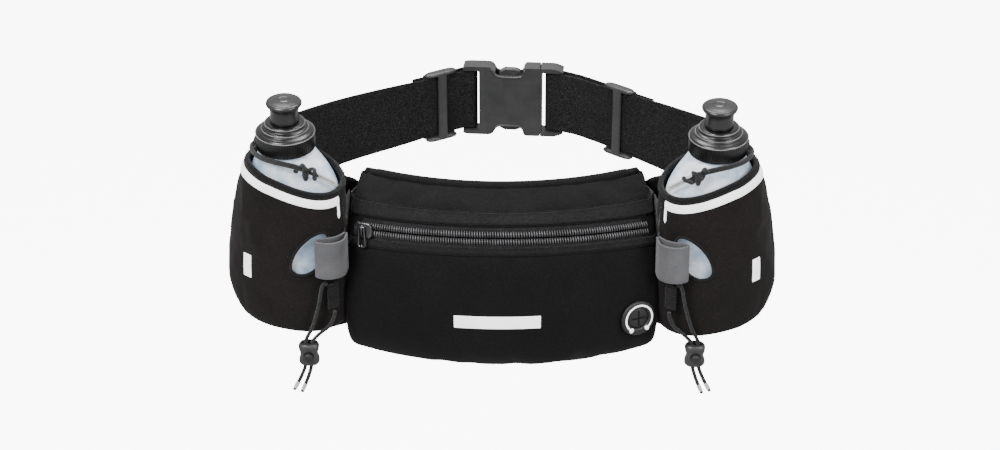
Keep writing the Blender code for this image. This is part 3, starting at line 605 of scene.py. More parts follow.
def simulate(obj, held, pressure, slack, cap):
    """Cloth simulation of a skin whose held points stay put, with the moves capped."""
    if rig.quick():
        return
    start = np.array([v.co[:] for v in obj.data.vertices])
    group = obj.vertex_groups.new(name="held")
    group.add([int(i) for i in held], 1.0, "REPLACE")
    cloth = obj.modifiers.new("cloth", "CLOTH")
    put(cloth.settings, quality=5, mass=0.25, tension_stiffness=25.0,
        compression_stiffness=25.0, bending_stiffness=0.6, use_pressure=True,
        uniform_pressure_force=pressure, shrink_min=-slack, vertex_group_mass="held")
    cloth.settings.effector_weights.gravity = 0.0
    cloth.collision_settings.use_collision = False
    put(cloth.point_cache, frame_start=1, frame_end=CLOTH_FRAMES)
    scene = bpy.context.scene
    for frame_number in range(1, CLOTH_FRAMES + 1):
        scene.frame_set(frame_number)
    graph = bpy.context.evaluated_depsgraph_get()
    settled = obj.evaluated_get(graph).to_mesh()
    end = np.array([v.co[:] for v in settled.vertices])
    obj.evaluated_get(graph).to_mesh_clear()
    obj.modifiers.clear()
    obj.vertex_groups.clear()
    scene.frame_set(1)
    move = end - start
    length = np.linalg.norm(move, axis=1, keepdims=True)
    move *= np.minimum(1.0, cap * MM / np.maximum(length, 1e-9))
    for vert, spot in zip(obj.data.vertices, start + move):
        vert.co = spot
    obj.data.update()


def thicken(obj, thickness):
    """Gives a skin its wall, on its inner side."""
    return modify(obj, "wall", "SOLIDIFY", thickness=thickness * MM, offset=-1.0, use_rim=True)


def copy_node(node, name, mat):
    """A copy of a CAD node's mesh, with its flat faces made whole, to finish by modifiers."""
    mesh = frame["nodes"][node].data.copy()
    mesh.name = name
    mesh.materials.clear()
    mesh.materials.append(mat)
    with editing(mesh) as work:
        bmesh.ops.remove_doubles(work, verts=work.verts, dist=0.00002)
        bmesh.ops.dissolve_limit(work, angle_limit=math.radians(1.0), verts=work.verts,
                                 edges=work.edges)
    return link_object(name, mesh)


def finish_hard(obj):
    """Crisp shading for a moulded or cast piece."""
    return modify(shade(obj, 40), "normals", "WEIGHTED_NORMAL", keep_sharp=True)


def cut_away(target, cutters):
    """Cuts the cutters' shapes out of a piece, and removes the cutters."""
    for cutter in cutters:
        modify(target, "cut", "BOOLEAN", operation="DIFFERENCE", solver="EXACT", object=cutter)
    apply_modifiers(target)
    for cutter in cutters:
        bpy.data.objects.remove(cutter)
    return target


def settle(obj, body, slot, *nodes):
    """Puts a finished piece on its body, with its slot, in place of CAD nodes."""
    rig.ride(obj, body)
    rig.slot(obj, slot)
    if nodes:
        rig.replaces(obj, *nodes)
    return obj


class Place:
    """A local frame: an origin and three unit directions, in millimetres."""

    def __init__(self, origin, x, y, z):
        self.origin = Vector(origin)
        self.x, self.y, self.z = (Vector(axis).normalized() for axis in (x, y, z))

    def point(self, x, y, z):
        return tuple(self.origin + self.x * x + self.y * y + self.z * z)

    def ring(self, wide, deep, z, count=32, x=0.0, y=0.0, power=(1.0, 1.0), start=0.0):
        """A ring about the z axis: an ellipse, or squarer where the powers are under 1."""
        return [self.point(x + wide * signed_power(math.cos(a), power[0]),
                           y + deep * signed_power(math.sin(a), power[1]), z)
                for a in turns(count, start)]

    def disc(self, radius, y, count=32):
        """A circle about the y axis."""
        return [self.point(radius * math.cos(a), y, radius * math.sin(a)) for a in turns(count)]


def turned(centre, degrees, height=0.0):
    """An upright place, turned about its vertical axis."""
    a = math.radians(degrees)
    return Place((centre[0], centre[1], height), (math.cos(a), math.sin(a), 0),
                 (-math.sin(a), math.cos(a), 0), (0, 0, 1))


def mirror(point, side):
    return (point[0] if side == "left" else -point[0], *point[1:])


# ---------------------------------------------------------------- materials

def new_material(name):
    """A material, its node tree, the object's own coordinates and the main shader."""
    mat = bpy.data.materials.new(name)
    mat.use_nodes = True
    tree = mat.node_tree
    where = tree.nodes.new("ShaderNodeTexCoord").outputs["Object"]
    return mat, tree, where, tree.nodes["Principled BSDF"]


def dial(node, values):
    """Sets a node's inputs by name."""
    for key, value in values.items():
        node.inputs[key].default_value = value


def add_node(tree, kind, values, sources):
    """A shader node with its input values, and the outputs that feed it."""
    node = tree.nodes.new("ShaderNode" + kind)
    dial(node, values)
    for key, source in sources.items():
        tree.links.new(source, node.inputs[key])
    return node


def noise_node(tree, source, scale, detail, rough):
    values = {"Scale": scale, "Detail": detail, "Roughness": rough}
    return add_node(tree, "TexNoise", values, {"Vector": source}).outputs["Fac"]


def ramp_node(tree, source, stops):
    """A colour ramp; a colour of two numbers is a grey, its second number for blue."""
    node = add_node(tree, "ValToRGB", {}, {"Fac": source})
    while len(node.color_ramp.elements) < len(stops):
        node.color_ramp.elements.new(0.5)
    for element, (place, colour) in zip(node.color_ramp.elements, stops):
        element.position = place
        element.color = (colour[0], *colour[-2:], 1.0)
    return node.outputs["Color"]


def bump_node(tree, source, distance, strength, before=None):
    sources = {"Height": source}
    if before is not None:
        sources["Normal"] = before
    values = {"Distance": distance, "Strength": strength}
    return add_node(tree, "Bump", values, sources).outputs["Normal"]


def weave_node(tree, source, scale):
    """Diagonal threads from two crossed waves, for a twill or a knit."""
    both = tree.nodes.new("ShaderNodeMath")
    both.operation = "MULTIPLY"
    for k, angle in enumerate((TWILL_TURN, -TWILL_TURN)):
        spin = add_node(tree, "Mapping", {"Rotation": (angle,) * 3}, {"Vector": source})
        wave = add_node(tree, "TexWave", {"Scale": scale, "Distortion": 1.2, "Detail": 1.0},
                        {"Vector": spin.outputs["Vector"]})
        tree.links.new(wave.outputs["Fac"], both.inputs[k])
    return both.outputs["Value"]


def fabric(name, dark, light, speck, rough, sheen, bump, weave, patch):
    """Woven or knitted cloth: fine specks of lighter thread, broad patches, and a thread relief."""
    mat, tree, where, shader = new_material(name)
    fine = noise_node(tree, where, speck, 2.0, 0.7)
    broad = noise_node(tree, where, patch, 3.0, 0.5)
    mix = tree.nodes.new("ShaderNodeMix")
    put(mix, data_type="RGBA", blend_type="MULTIPLY")
    mix.inputs["Factor"].default_value = 1.0
    tree.links.new(ramp_node(tree, fine, [(0.42, dark), (0.72, light)]), mix.inputs["A"])
    tree.links.new(ramp_node(tree, broad, [(0.3, (0.82,) * 3), (0.7, (1.12,) * 3)]),
                   mix.inputs["B"])
    tree.links.new(mix.outputs["Result"], shader.inputs["Base Color"])
    relief = bump_node(tree, weave_node(tree, where, weave), bump, 0.6) if weave else None
    tree.links.new(bump_node(tree, fine, bump, 0.5, relief), shader.inputs["Normal"])
    dial(shader, {"Roughness": rough, "Sheen Weight": sheen, "Sheen Roughness": 0.5,
                  "Specular IOR Level": 0.12})
    return mat


def plastic(name, dark, light, rough, grain, bump, coat, metallic):
    """Moulded plastic or plated metal with a fine satin grain and handled, lighter patches."""
    mat, tree, where, shader = new_material(name)
    broad = noise_node(tree, where, 90.0, 4.0, 0.6)
    fine = noise_node(tree, where, grain, 2.0, 0.6)
    gloss = [(0.3, (rough * 0.8,) * 3), (0.7, (rough * 1.2,) * 3)]
    for key, output in (("Base Color", ramp_node(tree, broad, [(0.35, dark), (0.7, light)])),
                        ("Roughness", ramp_node(tree, fine, gloss)),
                        ("Normal", bump_node(tree, fine, bump, 0.4))):
        tree.links.new(output, shader.inputs[key])
    dial(shader, {"Coat Weight": coat, "Coat Roughness": 0.15, "Metallic": metallic})
    return mat


def milky_plastic():
    """Squeeze-bottle plastic: milky, faintly blue, with darker and lighter blue mottling that is partly clouding and
    partly painted reflection, and a faint painted glow.
    """
    mat, tree, where, shader = new_material("bottle_milky")
    cloud_and_reflection = noise_node(tree, where, 42.0, 4.0, 0.6)
    # the darker and lighter blue patches are partly painted reflection
    stops = [(0.36, (0.17, 0.27, 0.42)), (0.5, (0.40, 0.52, 0.70)), (0.64, (0.88, 0.94, 1.0))]
    tree.links.new(ramp_node(tree, cloud_and_reflection, stops), shader.inputs["Base Color"])
    fine = noise_node(tree, where, 240.0, 3.0, 0.6)
    tree.links.new(bump_node(tree, fine, 0.0001, 0.5), shader.inputs["Normal"])
    # painted glow: a faint bluish-white emission brightens the bottle
    dial(shader, {"Roughness": 0.28, "Subsurface Weight": 0.35,
                  "Subsurface Radius": (0.006, 0.008, 0.010), "Subsurface Scale": 1.0,
                  "Transmission Weight": 0.1, "Emission Color": (0.86, 0.93, 1.0, 1.0),
                  "Emission Strength": 0.10})
    return mat


FABRICS = {
    # dark and light colour, speck scale, roughness, sheen, relief depth, weave and patch scales
    "panel": ("neoprene_panel", (0.0030, 0.0032), (0.0062, 0.0064), 900, 0.88, 0.03, 0.00012, 0,
              45),
    "band": ("neoprene_band", (0.0044, 0.0046), (0.0150, 0.0156), 1300, 0.85, 0.08, 0.0002, 1100,
             80),
    "back": ("spacer_mesh", (0.004, 0.0045), (0.020, 0.021), 1500, 0.9, 0.1, 0.0004, 1500, 60),
    "holster": ("holster_knit", (0.0064, 0.0049, 0.0045), (0.0120, 0.0098, 0.0092), 900, 0.88,
                0.04, 0.00012, 0, 40),
    "strap": ("strap_weave", (0.0020, 0.0021), (0.031, 0.032), 1150, 0.85, 0.02, 0.0003, 1500, 35),
    "woven": ("woven_tape", (0.004, 0.0045), (0.10, 0.105), 1300, 0.8, 0.1, 0.0005, 900, 90),
    "tape": ("zip_tape", (0.005, 0.0055), (0.032, 0.034), 1800, 0.85, 0.08, 0.0003, 1400, 90),
    "binding": ("edge_binding", (0.0022, 0.0024), (0.0075, 0.008), 1200, 0.7, 0.08, 0.0002, 1300,
                70),
    "grey": ("grey_elastic", (0.092, 0.098), (0.112, 0.120), 1300, 0.45, 0.12, 0.00005, 1600, 60),
    "piping": ("pale_piping", (0.82, 0.83), (0.93, 0.94), 700, 0.5, 0.1, 0.00005, 0, 80),
    "cord": ("braided_cord", (0.005, 0.0055), (0.030, 0.032), 2200, 0.6, 0.15, 0.0003, 2200, 120),
    # dark thread, also the colour of the painted shade lines at the pouch's seams and in the port's slits
    "thread": ("dark_thread_and_shade", (0.0015, 0.0015), (0.004, 0.004), 2500, 0.7, 0.05, 0.0001, 0, 120),
    "light_cord": ("light_cord", (0.45, 0.46), (0.80, 0.81), 1800, 0.55, 0.2, 0.0002, 2000, 120),
}
PLASTICS = {
    # dark and light colour, roughness, grain scale, relief depth, clear coat, metallic
    "buckle": ("buckle_satin", (0.024, 0.0245), (0.034, 0.035), 0.38, 700, 0.00005, 0.0, 0.0),
    "teeth": ("zip_coil", (0.045, 0.047), (0.10, 0.105), 0.32, 900, 0.00005, 0.0, 0.0),
    "cap": ("cap_gloss", (0.0022, 0.0024), (0.0034, 0.0036), 0.30, 50, 0.000002, 0.1, 0.0),
    "nozzle": ("nozzle_gloss", (0.010, 0.0102), (0.016, 0.0165), 0.30, 50, 0.000002, 0.1, 0.0),
    # painted highlight: pale grey for the rings that stand for the bright edges of the black cap's steps
    "bead": ("painted_edge_highlight", (0.10, 0.105), (0.24, 0.245), 0.25, 50, 0.000002, 0.0, 0.0),
    "rubber": ("soft_rubber", (0.006, 0.0063), (0.011, 0.0115), 0.55, 700, 0.00005, 0.0, 0.0),
    "metal": ("plated_metal", (0.10, 0.105), (0.22, 0.225), 0.3, 1200, 0.00004, 0.0, 1.0),
    "lock": ("lock_satin", (0.020, 0.021), (0.034, 0.035), 0.42, 700, 0.00005, 0.0, 0.0),
}


def build_materials():
    looks = {key: fabric(*row) for key, row in FABRICS.items()}
    looks.update({key: plastic(*row) for key, row in PLASTICS.items()})
    looks["bottle"] = milky_plastic()
    # painted glow: the piping pieces emit white light, which brightens them beyond their lit colour
    dial(looks["piping"].node_tree.nodes["Principled BSDF"],
         {"Emission Color": WHITE, "Emission Strength": PIPING_PAINTED_GLOW})
    return looks


# ---------------------------------------------------------------- camera, lights and floor

def aim_at(obj, back):
    """Turns a camera or a light so that its back points along a direction."""
    obj.rotation_euler = back.to_track_quat("Z", "Y").to_euler()


def build_camera():
    tilt = math.radians(CAMERA_ELEVATION)
    data = bpy.data.cameras.new("camera")
    put(data, sensor_width=36.0, lens=CAMERA_LENS, shift_x=CAMERA_SHIFT, clip_end=20.0)
    camera = link_object("camera", data)
    back = Vector((0, -math.cos(tilt), math.sin(tilt)))
    camera.location = (Vector(CAMERA_AIM) + back * CAMERA_DISTANCE) * MM
    aim_at(camera, back)
    bpy.context.scene.camera = camera


def area_light(name, place, size, power):
    data = bpy.data.lights.new(name, "AREA")
    put(data, shape="RECTANGLE", size=size[0], size_y=size[1], energy=power, color=(1, 1, 1))
    light = link_object(name, data)
    light.location = place
    aim_at(light, Vector(place) - Vector((0, 0, -0.03)))


def build_stage():
    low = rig.bounds()[0][2] - FLOOR_DROP * MM
    mat, _, _, shader = new_material("studio_white")
    dial(shader, {"Base Color": (0.95, 0.95, 0.95, 1.0), "Roughness": 0.9,
                  "Emission Color": WHITE, "Emission Strength": BACKDROP_GLOW})
    for name in ("floor", "backdrop"):
        mesh = bpy.data.meshes.new(name)
        with editing(mesh) as work:
            if name == "floor":
                bmesh.ops.create_circle(work, cap_ends=True, segments=48, radius=5.9)
                bmesh.ops.translate(work, verts=work.verts, vec=(0.0, 0.0, low))
            else:
                bmesh.ops.create_uvsphere(work, u_segments=48, v_segments=24, radius=6.0)
        mesh.materials.append(mat)
        piece = link_object(name, mesh)
        put(piece, visible_diffuse=False, visible_glossy=False, visible_transmission=False,
            visible_shadow=False)
        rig.stage(piece)

    world = bpy.data.worlds.new("studio")
    bpy.context.scene.world = world
    world.use_nodes = True
    dial(world.node_tree.nodes["Background"], {"Color": WHITE, "Strength": WORLD_LIGHT})
    area_light("key", (-0.55, -0.75, 0.85), (0.45, 0.45), 20.0)
    area_light("fill", (0.7, -0.7, 0.5), (0.5, 0.5), 9.0)
    area_light("top", (0.0, 0.25, 1.0), (0.9, 0.4), 16.0)


# ---------------------------------------------------------------- pouch geometry

def profile_at(place, inset=0.0):
    """Depth, height and end drop at a place along the side profile, moved in by inset."""
    spot = min(max(place, 0.0), len(PROFILE) - 1.0) * 6
    index = min(int(spot), len(SMOOTH_PROFILE) - 2)
    here = SMOOTH_PROFILE[index] + (SMOOTH_PROFILE[index + 1]
                                    - SMOOTH_PROFILE[index]) * (spot - index)
    a = SMOOTH_PROFILE[max(index - 2, 0)]
    b = SMOOTH_PROFILE[min(index + 3, len(SMOOTH_PROFILE) - 1)]
    along = (b - a)[:2] / np.linalg.norm((b - a)[:2])
    inward = np.array([along[1], -along[0]])
    depth, height = here[:2] + inward * inset
    return depth, height, here[2]


SMOOTH_PROFILE = np.array(curve_points(PROFILE, 6))


def half_angle(height, depth=25.0):
    """The pouch's half angle, wider towards its back and its bottom."""
    share = (BACK_TOP - height) / (BACK_TOP - BACK_BOTTOM)
    return math.radians(POUCH_HALF_ANGLE_TOP
                        + (POUCH_HALF_ANGLE_BOTTOM - POUCH_HALF_ANGLE_TOP) * share
                        + POUCH_END_SPLAY * max(0.0, 1.0 - depth / 30.0))


def arc_point(angle, radius, height):
    return (radius * math.sin(angle), ARC_Y - radius * math.cos(angle), height)


def front_point(degrees, place, inset=0.0):
    """A point on the pouch's front skin at an angle and a place along the profile."""
    angle = math.radians(degrees)
    depth, height, drop = profile_at(place, inset)
    sag = drop * (1.0 - math.cos(angle)) / END_VERSINE
    return arc_point(angle, BACK_RADIUS + depth, height - sag)


def pouch_columns(place, inset=0.0, middle=48):
    """One row of the pouch skin, from one end wall around the front to the other."""
    outer_depth, outer_height, drop = profile_at(place)
    depth, height, _ = profile_at(place, inset)
    mean = BACK_RADIUS + outer_depth
    corner = min(POUCH_CORNER, 0.45 * outer_depth)
    limit = half_angle(outer_height, outer_depth)
    spread = limit - corner / mean
    inner_corner = max(corner - inset, 0.15)
    row = []
    for k in range(middle + 1):
        angle = spread * (2.0 * k / middle - 1.0)
        sag = drop * (1.0 - math.cos(angle)) / END_VERSINE
        row.append(arc_point(angle, BACK_RADIUS + depth, height - sag))
    right = []
    end_sag = drop * (1.0 - math.cos(limit)) / END_VERSINE
    for turn in (15, 30, 45, 60, 75, 90):
        a = math.radians(turn)
        angle = limit - (inset + inner_corner * (1 - math.sin(a))) / mean
        radius = BACK_RADIUS + depth - inner_corner * (1 - math.cos(a))
        right.append(arc_point(angle, radius, height - end_sag))
    wall_top = depth - inner_corner
    for share in (0.25, 0.5, 0.75, 1.0):
        at = wall_top + (0.4 - wall_top) * share
        turn = half_angle(outer_height, min(at, outer_depth))
        right.append(arc_point(turn - inset / mean, BACK_RADIUS + at, height - end_sag))
    return [(-x, y, z) for x, y, z in reversed(right)] + row + right


def pouch_panel(name, start, end, rows, mat, flat=()):
    """One sewn panel: the skin filled out by a cloth simulation, then given its wall.

    It stays flat in its flat patches, each an angle range and a range of places.
    """
    places = span(start, end, rows)
    grid = [pouch_columns(p) for p in places]
    cols = len(grid[0])
    panel = skin(name, grid, mat)
    held = [r * cols + c for r in range(rows) for c in range(cols)
            if r in (0, rows - 1) or c < 3 or c >= cols - 3
            or any(low < math.degrees(math.atan2(grid[r][c][0], ARC_Y - grid[r][c][1])) < high
                   and first < places[r] < last for low, high, first, last in flat)]
    simulate(panel, held, pressure=3.0, slack=0.012, cap=1.1)
    rumple(panel, [(34.0, 0.35), (13.0, 0.12)], start)
    thicken(panel, POUCH_WALL)
    apply_modifiers(panel)
    subdivide(panel)
    return panel


def front_patch(name, angles, places, near, far, mat, cols=90, rows=6):
    """A thin strip that follows the pouch's front skin between two insets."""
    grids = [[[front_point(angle, place, inset) for angle in span(*angles, cols)]
              for place in span(*places, rows)] for inset in (near, far)]
    return slab(name, grids, mat, 0.28)


def wide_band(name, places, near, far, mat, rows=6):
    """A strip across the pouch's whole front and round its corners."""
    grids = [[pouch_columns(place, inset, 80)[4:-4] for place in span(*places, rows)]
             for inset in (near, far)]
    return slab(name, grids, mat, 0.25)


def front_line(place, inset, reach, count=90):
    return [front_point(reach * (2.0 * k / (count - 1) - 1.0), place, inset) for k in range(count)]


def build_back(m):
    """The padded back, its binding and the roll along its top."""
    angles = span(-BACK_HALF_ANGLE, BACK_HALF_ANGLE, 61)
    heights = [BACK_BOTTOM, BACK_BOTTOM + 4, BACK_BOTTOM + 12, -52.0, -30.0, -8.0, 10.0,
               BACK_TOP - 8, BACK_TOP - 3, BACK_TOP]
    squeeze = [0.94, 0.97, 1.0, 1.0, 1.0, 1.0, 1.0, 1.0, 1.0, 0.985]
    grids = [[[arc_point(math.radians(a * s), radius, h) for a in angles]
              for h, s in zip(heights, squeeze)]
             for radius in (BACK_RADIUS - 0.2, BACK_RADIUS - BACK_THICK + 0.2)]
    back = rumple(sheet("back_padding", *grids, m["back"]), [(16.0, 0.25)], 3.0)
    settle(bevel(back, 0.9), "pouch", "neoprene_black", "back_panel")
    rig.padded(back, fill=0.4)
    for k, height in enumerate((-62.0, -34.0, -6.0)):
        channel = [arc_point(math.radians(a * 0.93), BACK_RADIUS - BACK_THICK - 0.1, height)
                   for a in angles]
        sew(f"back_stitch_{k}", channel, m["band"], 2.6, 1.8, 0.3, "neoprene_black")
    roll = [arc_point(math.radians(TOP_ROLL_HALF_ANGLE * (2.0 * k / 60 - 1.0)),
                      BACK_RADIUS + 0.1, BACK_TOP) for k in range(61)]
    settle(tube("pouch_top_roll", roll, rounded_path_radii(61, 3.2), m["panel"], 16), "pouch",
           "neoprene_black")
    edges = list(zip(heights, squeeze))[1:-1]
    ring = [(a, BACK_TOP + 0.2, 0.97) for a in angles]
    ring += [(BACK_HALF_ANGLE, h, s) for h, s in reversed(edges)]
    ring += [(a, BACK_BOTTOM - 0.2, 0.94) for a in reversed(angles)]
    ring += [(-BACK_HALF_ANGLE, h, s) for h, s in edges]
    rim = [arc_point(math.radians(a * s), BACK_RADIUS - BACK_THICK / 2, h) for a, h, s in ring]
    settle(tube("back_binding", rim, 1.9, m["binding"], 10, 0.75, closed=True), "pouch",
           "neoprene_black")


def build_pouch(m):
    settle(pouch_panel("pouch_top_panel", 0.0, 3.0, 15, m["panel"]), "pouch", "neoprene_black",
           "pouch_upper_panel")
    lower = pouch_panel("pouch_front_panel", 6.0, 12.0, 29, m["panel"],
                        [(-11.0, 9.5, 7.7, 8.7), (19.5, 30.0, 7.7, 9.2)])
    settle(lower, "pouch", "neoprene_black", "pouch_lower_panel")
    for side, part in (("left", slice(0, 12)), ("right", slice(-12, None))):
        grids = [[pouch_columns(3.04 + 2.92 * k / 10, inset)[part] for k in range(11)]
                 for inset in (0.0, POUCH_WALL)]
        settle(slab("pouch_corner_" + side, grids, m["panel"], 0.2), "pouch", "neoprene_black",
               "pouch_end_" + side)

    for name, places, near, far in (("upper", (2.05, 2.92), -0.9, -0.05),
                                    ("lower", (4.80, 5.93), -0.45, 0.4)):
        settle(wide_band("placket_band_" + name, places, near, far, m["band"]), "pouch",
               "neoprene_black", "placket_" + name)
    for name, places, node in (("top", (3.08, 3.94), "upper"), ("bottom", (4.06, 5.9), "lower")):
        settle(front_patch("zip_tape_" + name, (-ZIP_REACH, ZIP_REACH), places, 0.9, 1.7,
                           m["tape"]), "pouch", "zip_black", "zip_tape_" + node)
    for name, place, inset in (("a", 2.14, -1.05), ("b", 2.80, -1.05), ("c", 4.90, -0.5),
                               ("d", 5.80, -0.5), ("e", 1.86, -0.15), ("f", 6.25, -0.1)):
        sew("pouch_stitch_" + name, pouch_columns(place, inset, 80)[5:-5],
            m["band" if name in "abcd" else "thread"], 2.3, 1.6, 0.24, "neoprene_black")
    # painted shade: dark lines along the upper band's top edge and below the lower band stand for the shadow in the
    # seams
    for name, place in (("upper", 1.98), ("lower", 6.02)):
        settle(tube("pouch_shade_line_" + name, pouch_columns(place, -0.05, 80)[5:-5], 0.5,
                    m["thread"], 8), "pouch", "neoprene_black")
    # painted shade: dark lines where the zip meets the bands stand for the shadow in those seams
    for name, place in (("top", 3.0), ("bottom", 6.0)):
        settle(tube("zip_shade_line_" + name, front_line(place, 0.25, ZIP_REACH), 0.55, m["thread"], 8),
               "pouch", "zip_black")
    for name, first, last in (("upper", 3.44, 3.93), ("lower", 4.07, 4.53)):
        settle(coil_row("zip_teeth_" + name, first, last, m["teeth"]), "pouch", "zip_black",
               "zip_coil_" + name)
        middle = front_line((first + last) / 2, 0.35, ZIP_REACH - 0.3)
        settle(tube("zip_cord_" + name, middle, 0.5, m["thread"], 8), "pouch", "zip_black")


def coil_row(name, first, last, mat):
    """The loops of one zip coil: short arched bars across the zip, one pitch apart."""
    mean = BACK_RADIUS + PROFILE[4][0]
    reach, lean = ZIP_REACH - 0.3, 0.09
    count = int(2 * math.radians(reach) * mean / TOOTH_PITCH)
    verts, faces = [], []
    for k in range(count):
        angle = reach * (2.0 * k / (count - 1) - 1.0)
        line = [front_point(angle + lean * (t - 0.5), first + (last - first) * t,
                            0.45 - 0.95 * math.sin(math.pi * t)) for t in (0.0, 0.2, 0.5, 0.8, 1.0)]
        add_bar(verts, faces, tube_rings(line, [0.2, 0.38, 0.42, 0.38, 0.2], 8))
    return make_object(name, verts, faces, mat)


def zip_frame(angle_degrees, out):
    """A frame on the zip: x along the zip, y out of the pouch, z across the zip."""
    tilt = math.radians(ZIP_TILT)
    angle = math.radians(angle_degrees)
    forward = Vector((0, -math.cos(tilt), math.sin(tilt)))
    axis = Vector((0, math.sin(tilt), math.cos(tilt)))
    radial = Vector((1, 0, 0)) * math.sin(angle) + forward * math.cos(angle)
    along = axis.cross(radial)
    radius = (BACK_RADIUS + PROFILE[4][0]) / math.cos(tilt)
    mid = PROFILE[4][1] - radius * math.sin(tilt)
    origin = Vector((0, ARC_Y, mid)) + radial * (radius + out)
    return Place(origin, -along, radial, axis)


def build_zip_slider(m):
    place = zip_frame(SLIDER_ANGLE, 1.2)
    body = finish_hard(bevel(copy_node("zip_slider", "slider_body", m["metal"]), 0.6))
    settle(body, "zip_slider", "zip_metal", "zip_slider")
    bridge = [place.point(0.0, out, z) for z, out in
              ((3.0, 1.9), (2.4, 2.9), (1.2, 3.3), (-1.2, 3.3), (-2.4, 2.9), (-3.0, 1.9))]
    settle(tube("slider_bridge", bridge, 0.7, m["metal"], 8), "zip_slider", "zip_metal")
    loop = [place.point(x, 3.0, z) for x, z in
            ((-1.5, 2.0), (1.5, 2.0), (1.75, -2.0), (2.2, -7.6), (1.5, -9.6), (-1.5, -9.6),
             (-2.2, -7.6), (-1.75, -2.0))]
    smooth_loop = curve_points(loop + loop[:1], 5)[:-1]
    settle(tube("puller_loop", smooth_loop, 0.62, m["metal"], 10, closed=True), "zip_puller",
           "zip_metal", "zip_puller")
    grip = [place.point(0.0, 3.0, z) for z in (-8.6, -9.2, -9.9, -10.4)]
    settle(tube("puller_grip", grip, [0.5, 1.0, 1.0, 0.5], m["metal"], 10), "zip_puller",
           "zip_metal")


def port_place():
    spot = Vector(front_point(PORT_ANGLE, PORT_PLACE, 0.0))
    angle = math.radians(PORT_ANGLE)
    out = Vector((math.sin(angle), -math.cos(angle), 0.04)).normalized()
    side = Vector((math.cos(angle), math.sin(angle), 0))
    return Place(spot, side, out, side.cross(out))


def build_port(m):
    place = port_place()
    rings = [place.disc(radius, out, 64) for radius, out in
             ((6.6, 0.9), (10.6, 0.9), (11.1, 1.3), (11.2, 1.8), (10.8, 2.4), (10.0, 2.75),
              (8.8, 3.0), (7.6, 3.0), (6.9, 2.8), (6.5, 2.2))]
    settle(closed_rings("port_grommet", rings, m["rubber"]), "pouch", "rubber_black", "port_ring")
    flap = [place.disc(radius, out, 48) for radius, out in
            ((0.2, 1.0), (5.2, 1.0), (6.3, 1.1), (6.4, 1.7), (5.6, 2.1), (3.0, 2.2), (0.2, 2.3))]
    settle(stack("port_flap", flap, m["rubber"]), "pouch", "rubber_black", "port_membrane")
    # painted shade: dark raised lines on the flap stand for the shadow inside its cross slits
    for name, turn in (("a", 0), ("b", 90)):
        a = math.radians(turn)
        slit = [place.point(t * math.cos(a), 2.32, t * math.sin(a)) for t in
                (-5.0, -2.4, 0.0, 2.4, 5.0)]
        settle(tube("port_slit_shade_" + name, slit, [0.25, 0.45, 0.45, 0.45, 0.25], m["thread"], 6),
               "pouch", "rubber_black")
    arc = []
    for k in range(41):
        a = math.radians(-52 + 284 * k / 40)
        arc.append(place.point(PORT_MARK_RADIUS * math.cos(a), 3.05,
                               -PORT_MARK_RADIUS * math.sin(a)))
    settle(tube("port_mark_ring", arc, 0.55, m["piping"], 8, 0.6), "pouch", "reflective_white")
    for k, turn in enumerate((-54, 234)):
        a = math.radians(turn)
        bulb = [place.point((PORT_MARK_RADIUS + t) * math.cos(a), 3.1,
                            -(PORT_MARK_RADIUS + t) * math.sin(a))
                for t in (-1.5, -1.0, 0.0, 1.0, 1.5)]
        settle(tube(f"port_mark_bulb_{k}", bulb, [0.5, 1.1, 1.35, 1.1, 0.5], m["piping"], 10, 0.5),
               "pouch", "reflective_white")


def build_mark(m):
    settle(front_patch("reflective_band", (-8.2, 6.6), (8.02, 8.38), -0.75, -0.1, m["piping"],
                       24, 4), "pouch", "reflective_white", "reflective_strip")


# ---------------------------------------------------------------- wings, holsters and bottles

def wing_point(index, height, out=0.0):
    """A point on the left wing's middle surface, or moved out of it."""
    x, y, _, _, lean = WING_LINE[index]
    normal = WING_NORMALS[index]
    shift = lean * (height - WING_LEAN_FROM)
    return (x + BOTTLE_LEAN[0] * shift + normal[0] * out,
            y + BOTTLE_LEAN[1] * shift + normal[1] * out, height)


WING_LINE = curve_points(WING, 5)
WING_NORMALS = plan_normals(WING_LINE)


def build_wing(side, m):
    grids = [[[mirror(wing_point(i, spot[2] + (spot[3] - spot[2]) * r / (WING_ROWS - 1), out),
                      side) for i, spot in enumerate(WING_LINE)] for r in range(WING_ROWS)]
             for out in (WING_THICK / 2, -WING_THICK / 2)]
    wing = rumple(sheet("wing_panel_" + side, *grids, m["panel"]), [(18.0, 0.3), (7.0, 0.1)], 5.0)
    settle(bevel(wing, 0.6), "pouch", "neoprene_black", "wing_" + side)
    for name, column, rise in (("low", 2, 0.3), ("top", 3, -0.3)):
        edge = [mirror(wing_point(i, spot[column] + rise), side)
                for i, spot in enumerate(WING_LINE)]
        settle(tube(f"wing_binding_{name}_{side}", edge, rounded_path_radii(len(edge), 1.7),
                    m["binding"], 10, 0.8), "pouch", "neoprene_black")
    for k, rise in enumerate((3.4, 6.2)):
        for face, out in (("out", WING_THICK / 2 + 0.12), ("in", -WING_THICK / 2 - 0.12)):
            line = [mirror(wing_point(i, spot[2] + rise, out), side)
                    for i, spot in enumerate(WING_LINE)][3:-1]
            sew(f"wing_stitch_{face}_{side}_{k}", line, m["band"], 2.2, 1.6, 0.24,
                "neoprene_black")


def bottle_place(side):
    turn = math.radians(FACING)
    up = Vector((BOTTLE_LEAN[0], BOTTLE_LEAN[1], 1.0)).normalized()
    across = Vector((math.cos(turn), -math.sin(turn), 0))
    across = (across - up * across.dot(up)).normalized()
    out = across.cross(up)
    place = Place((*BOTTLE_BASE, BOTTLE_SEAT[side]), across, out, up)
    if side == "right":
        place.origin.x *= -1
        for axis in (place.x, place.y, place.z):
            axis.x *= -1
    return place


def holster_place(side):
    place = bottle_place(side)
    place.origin -= place.z * HOLSTER_DROP
    return place


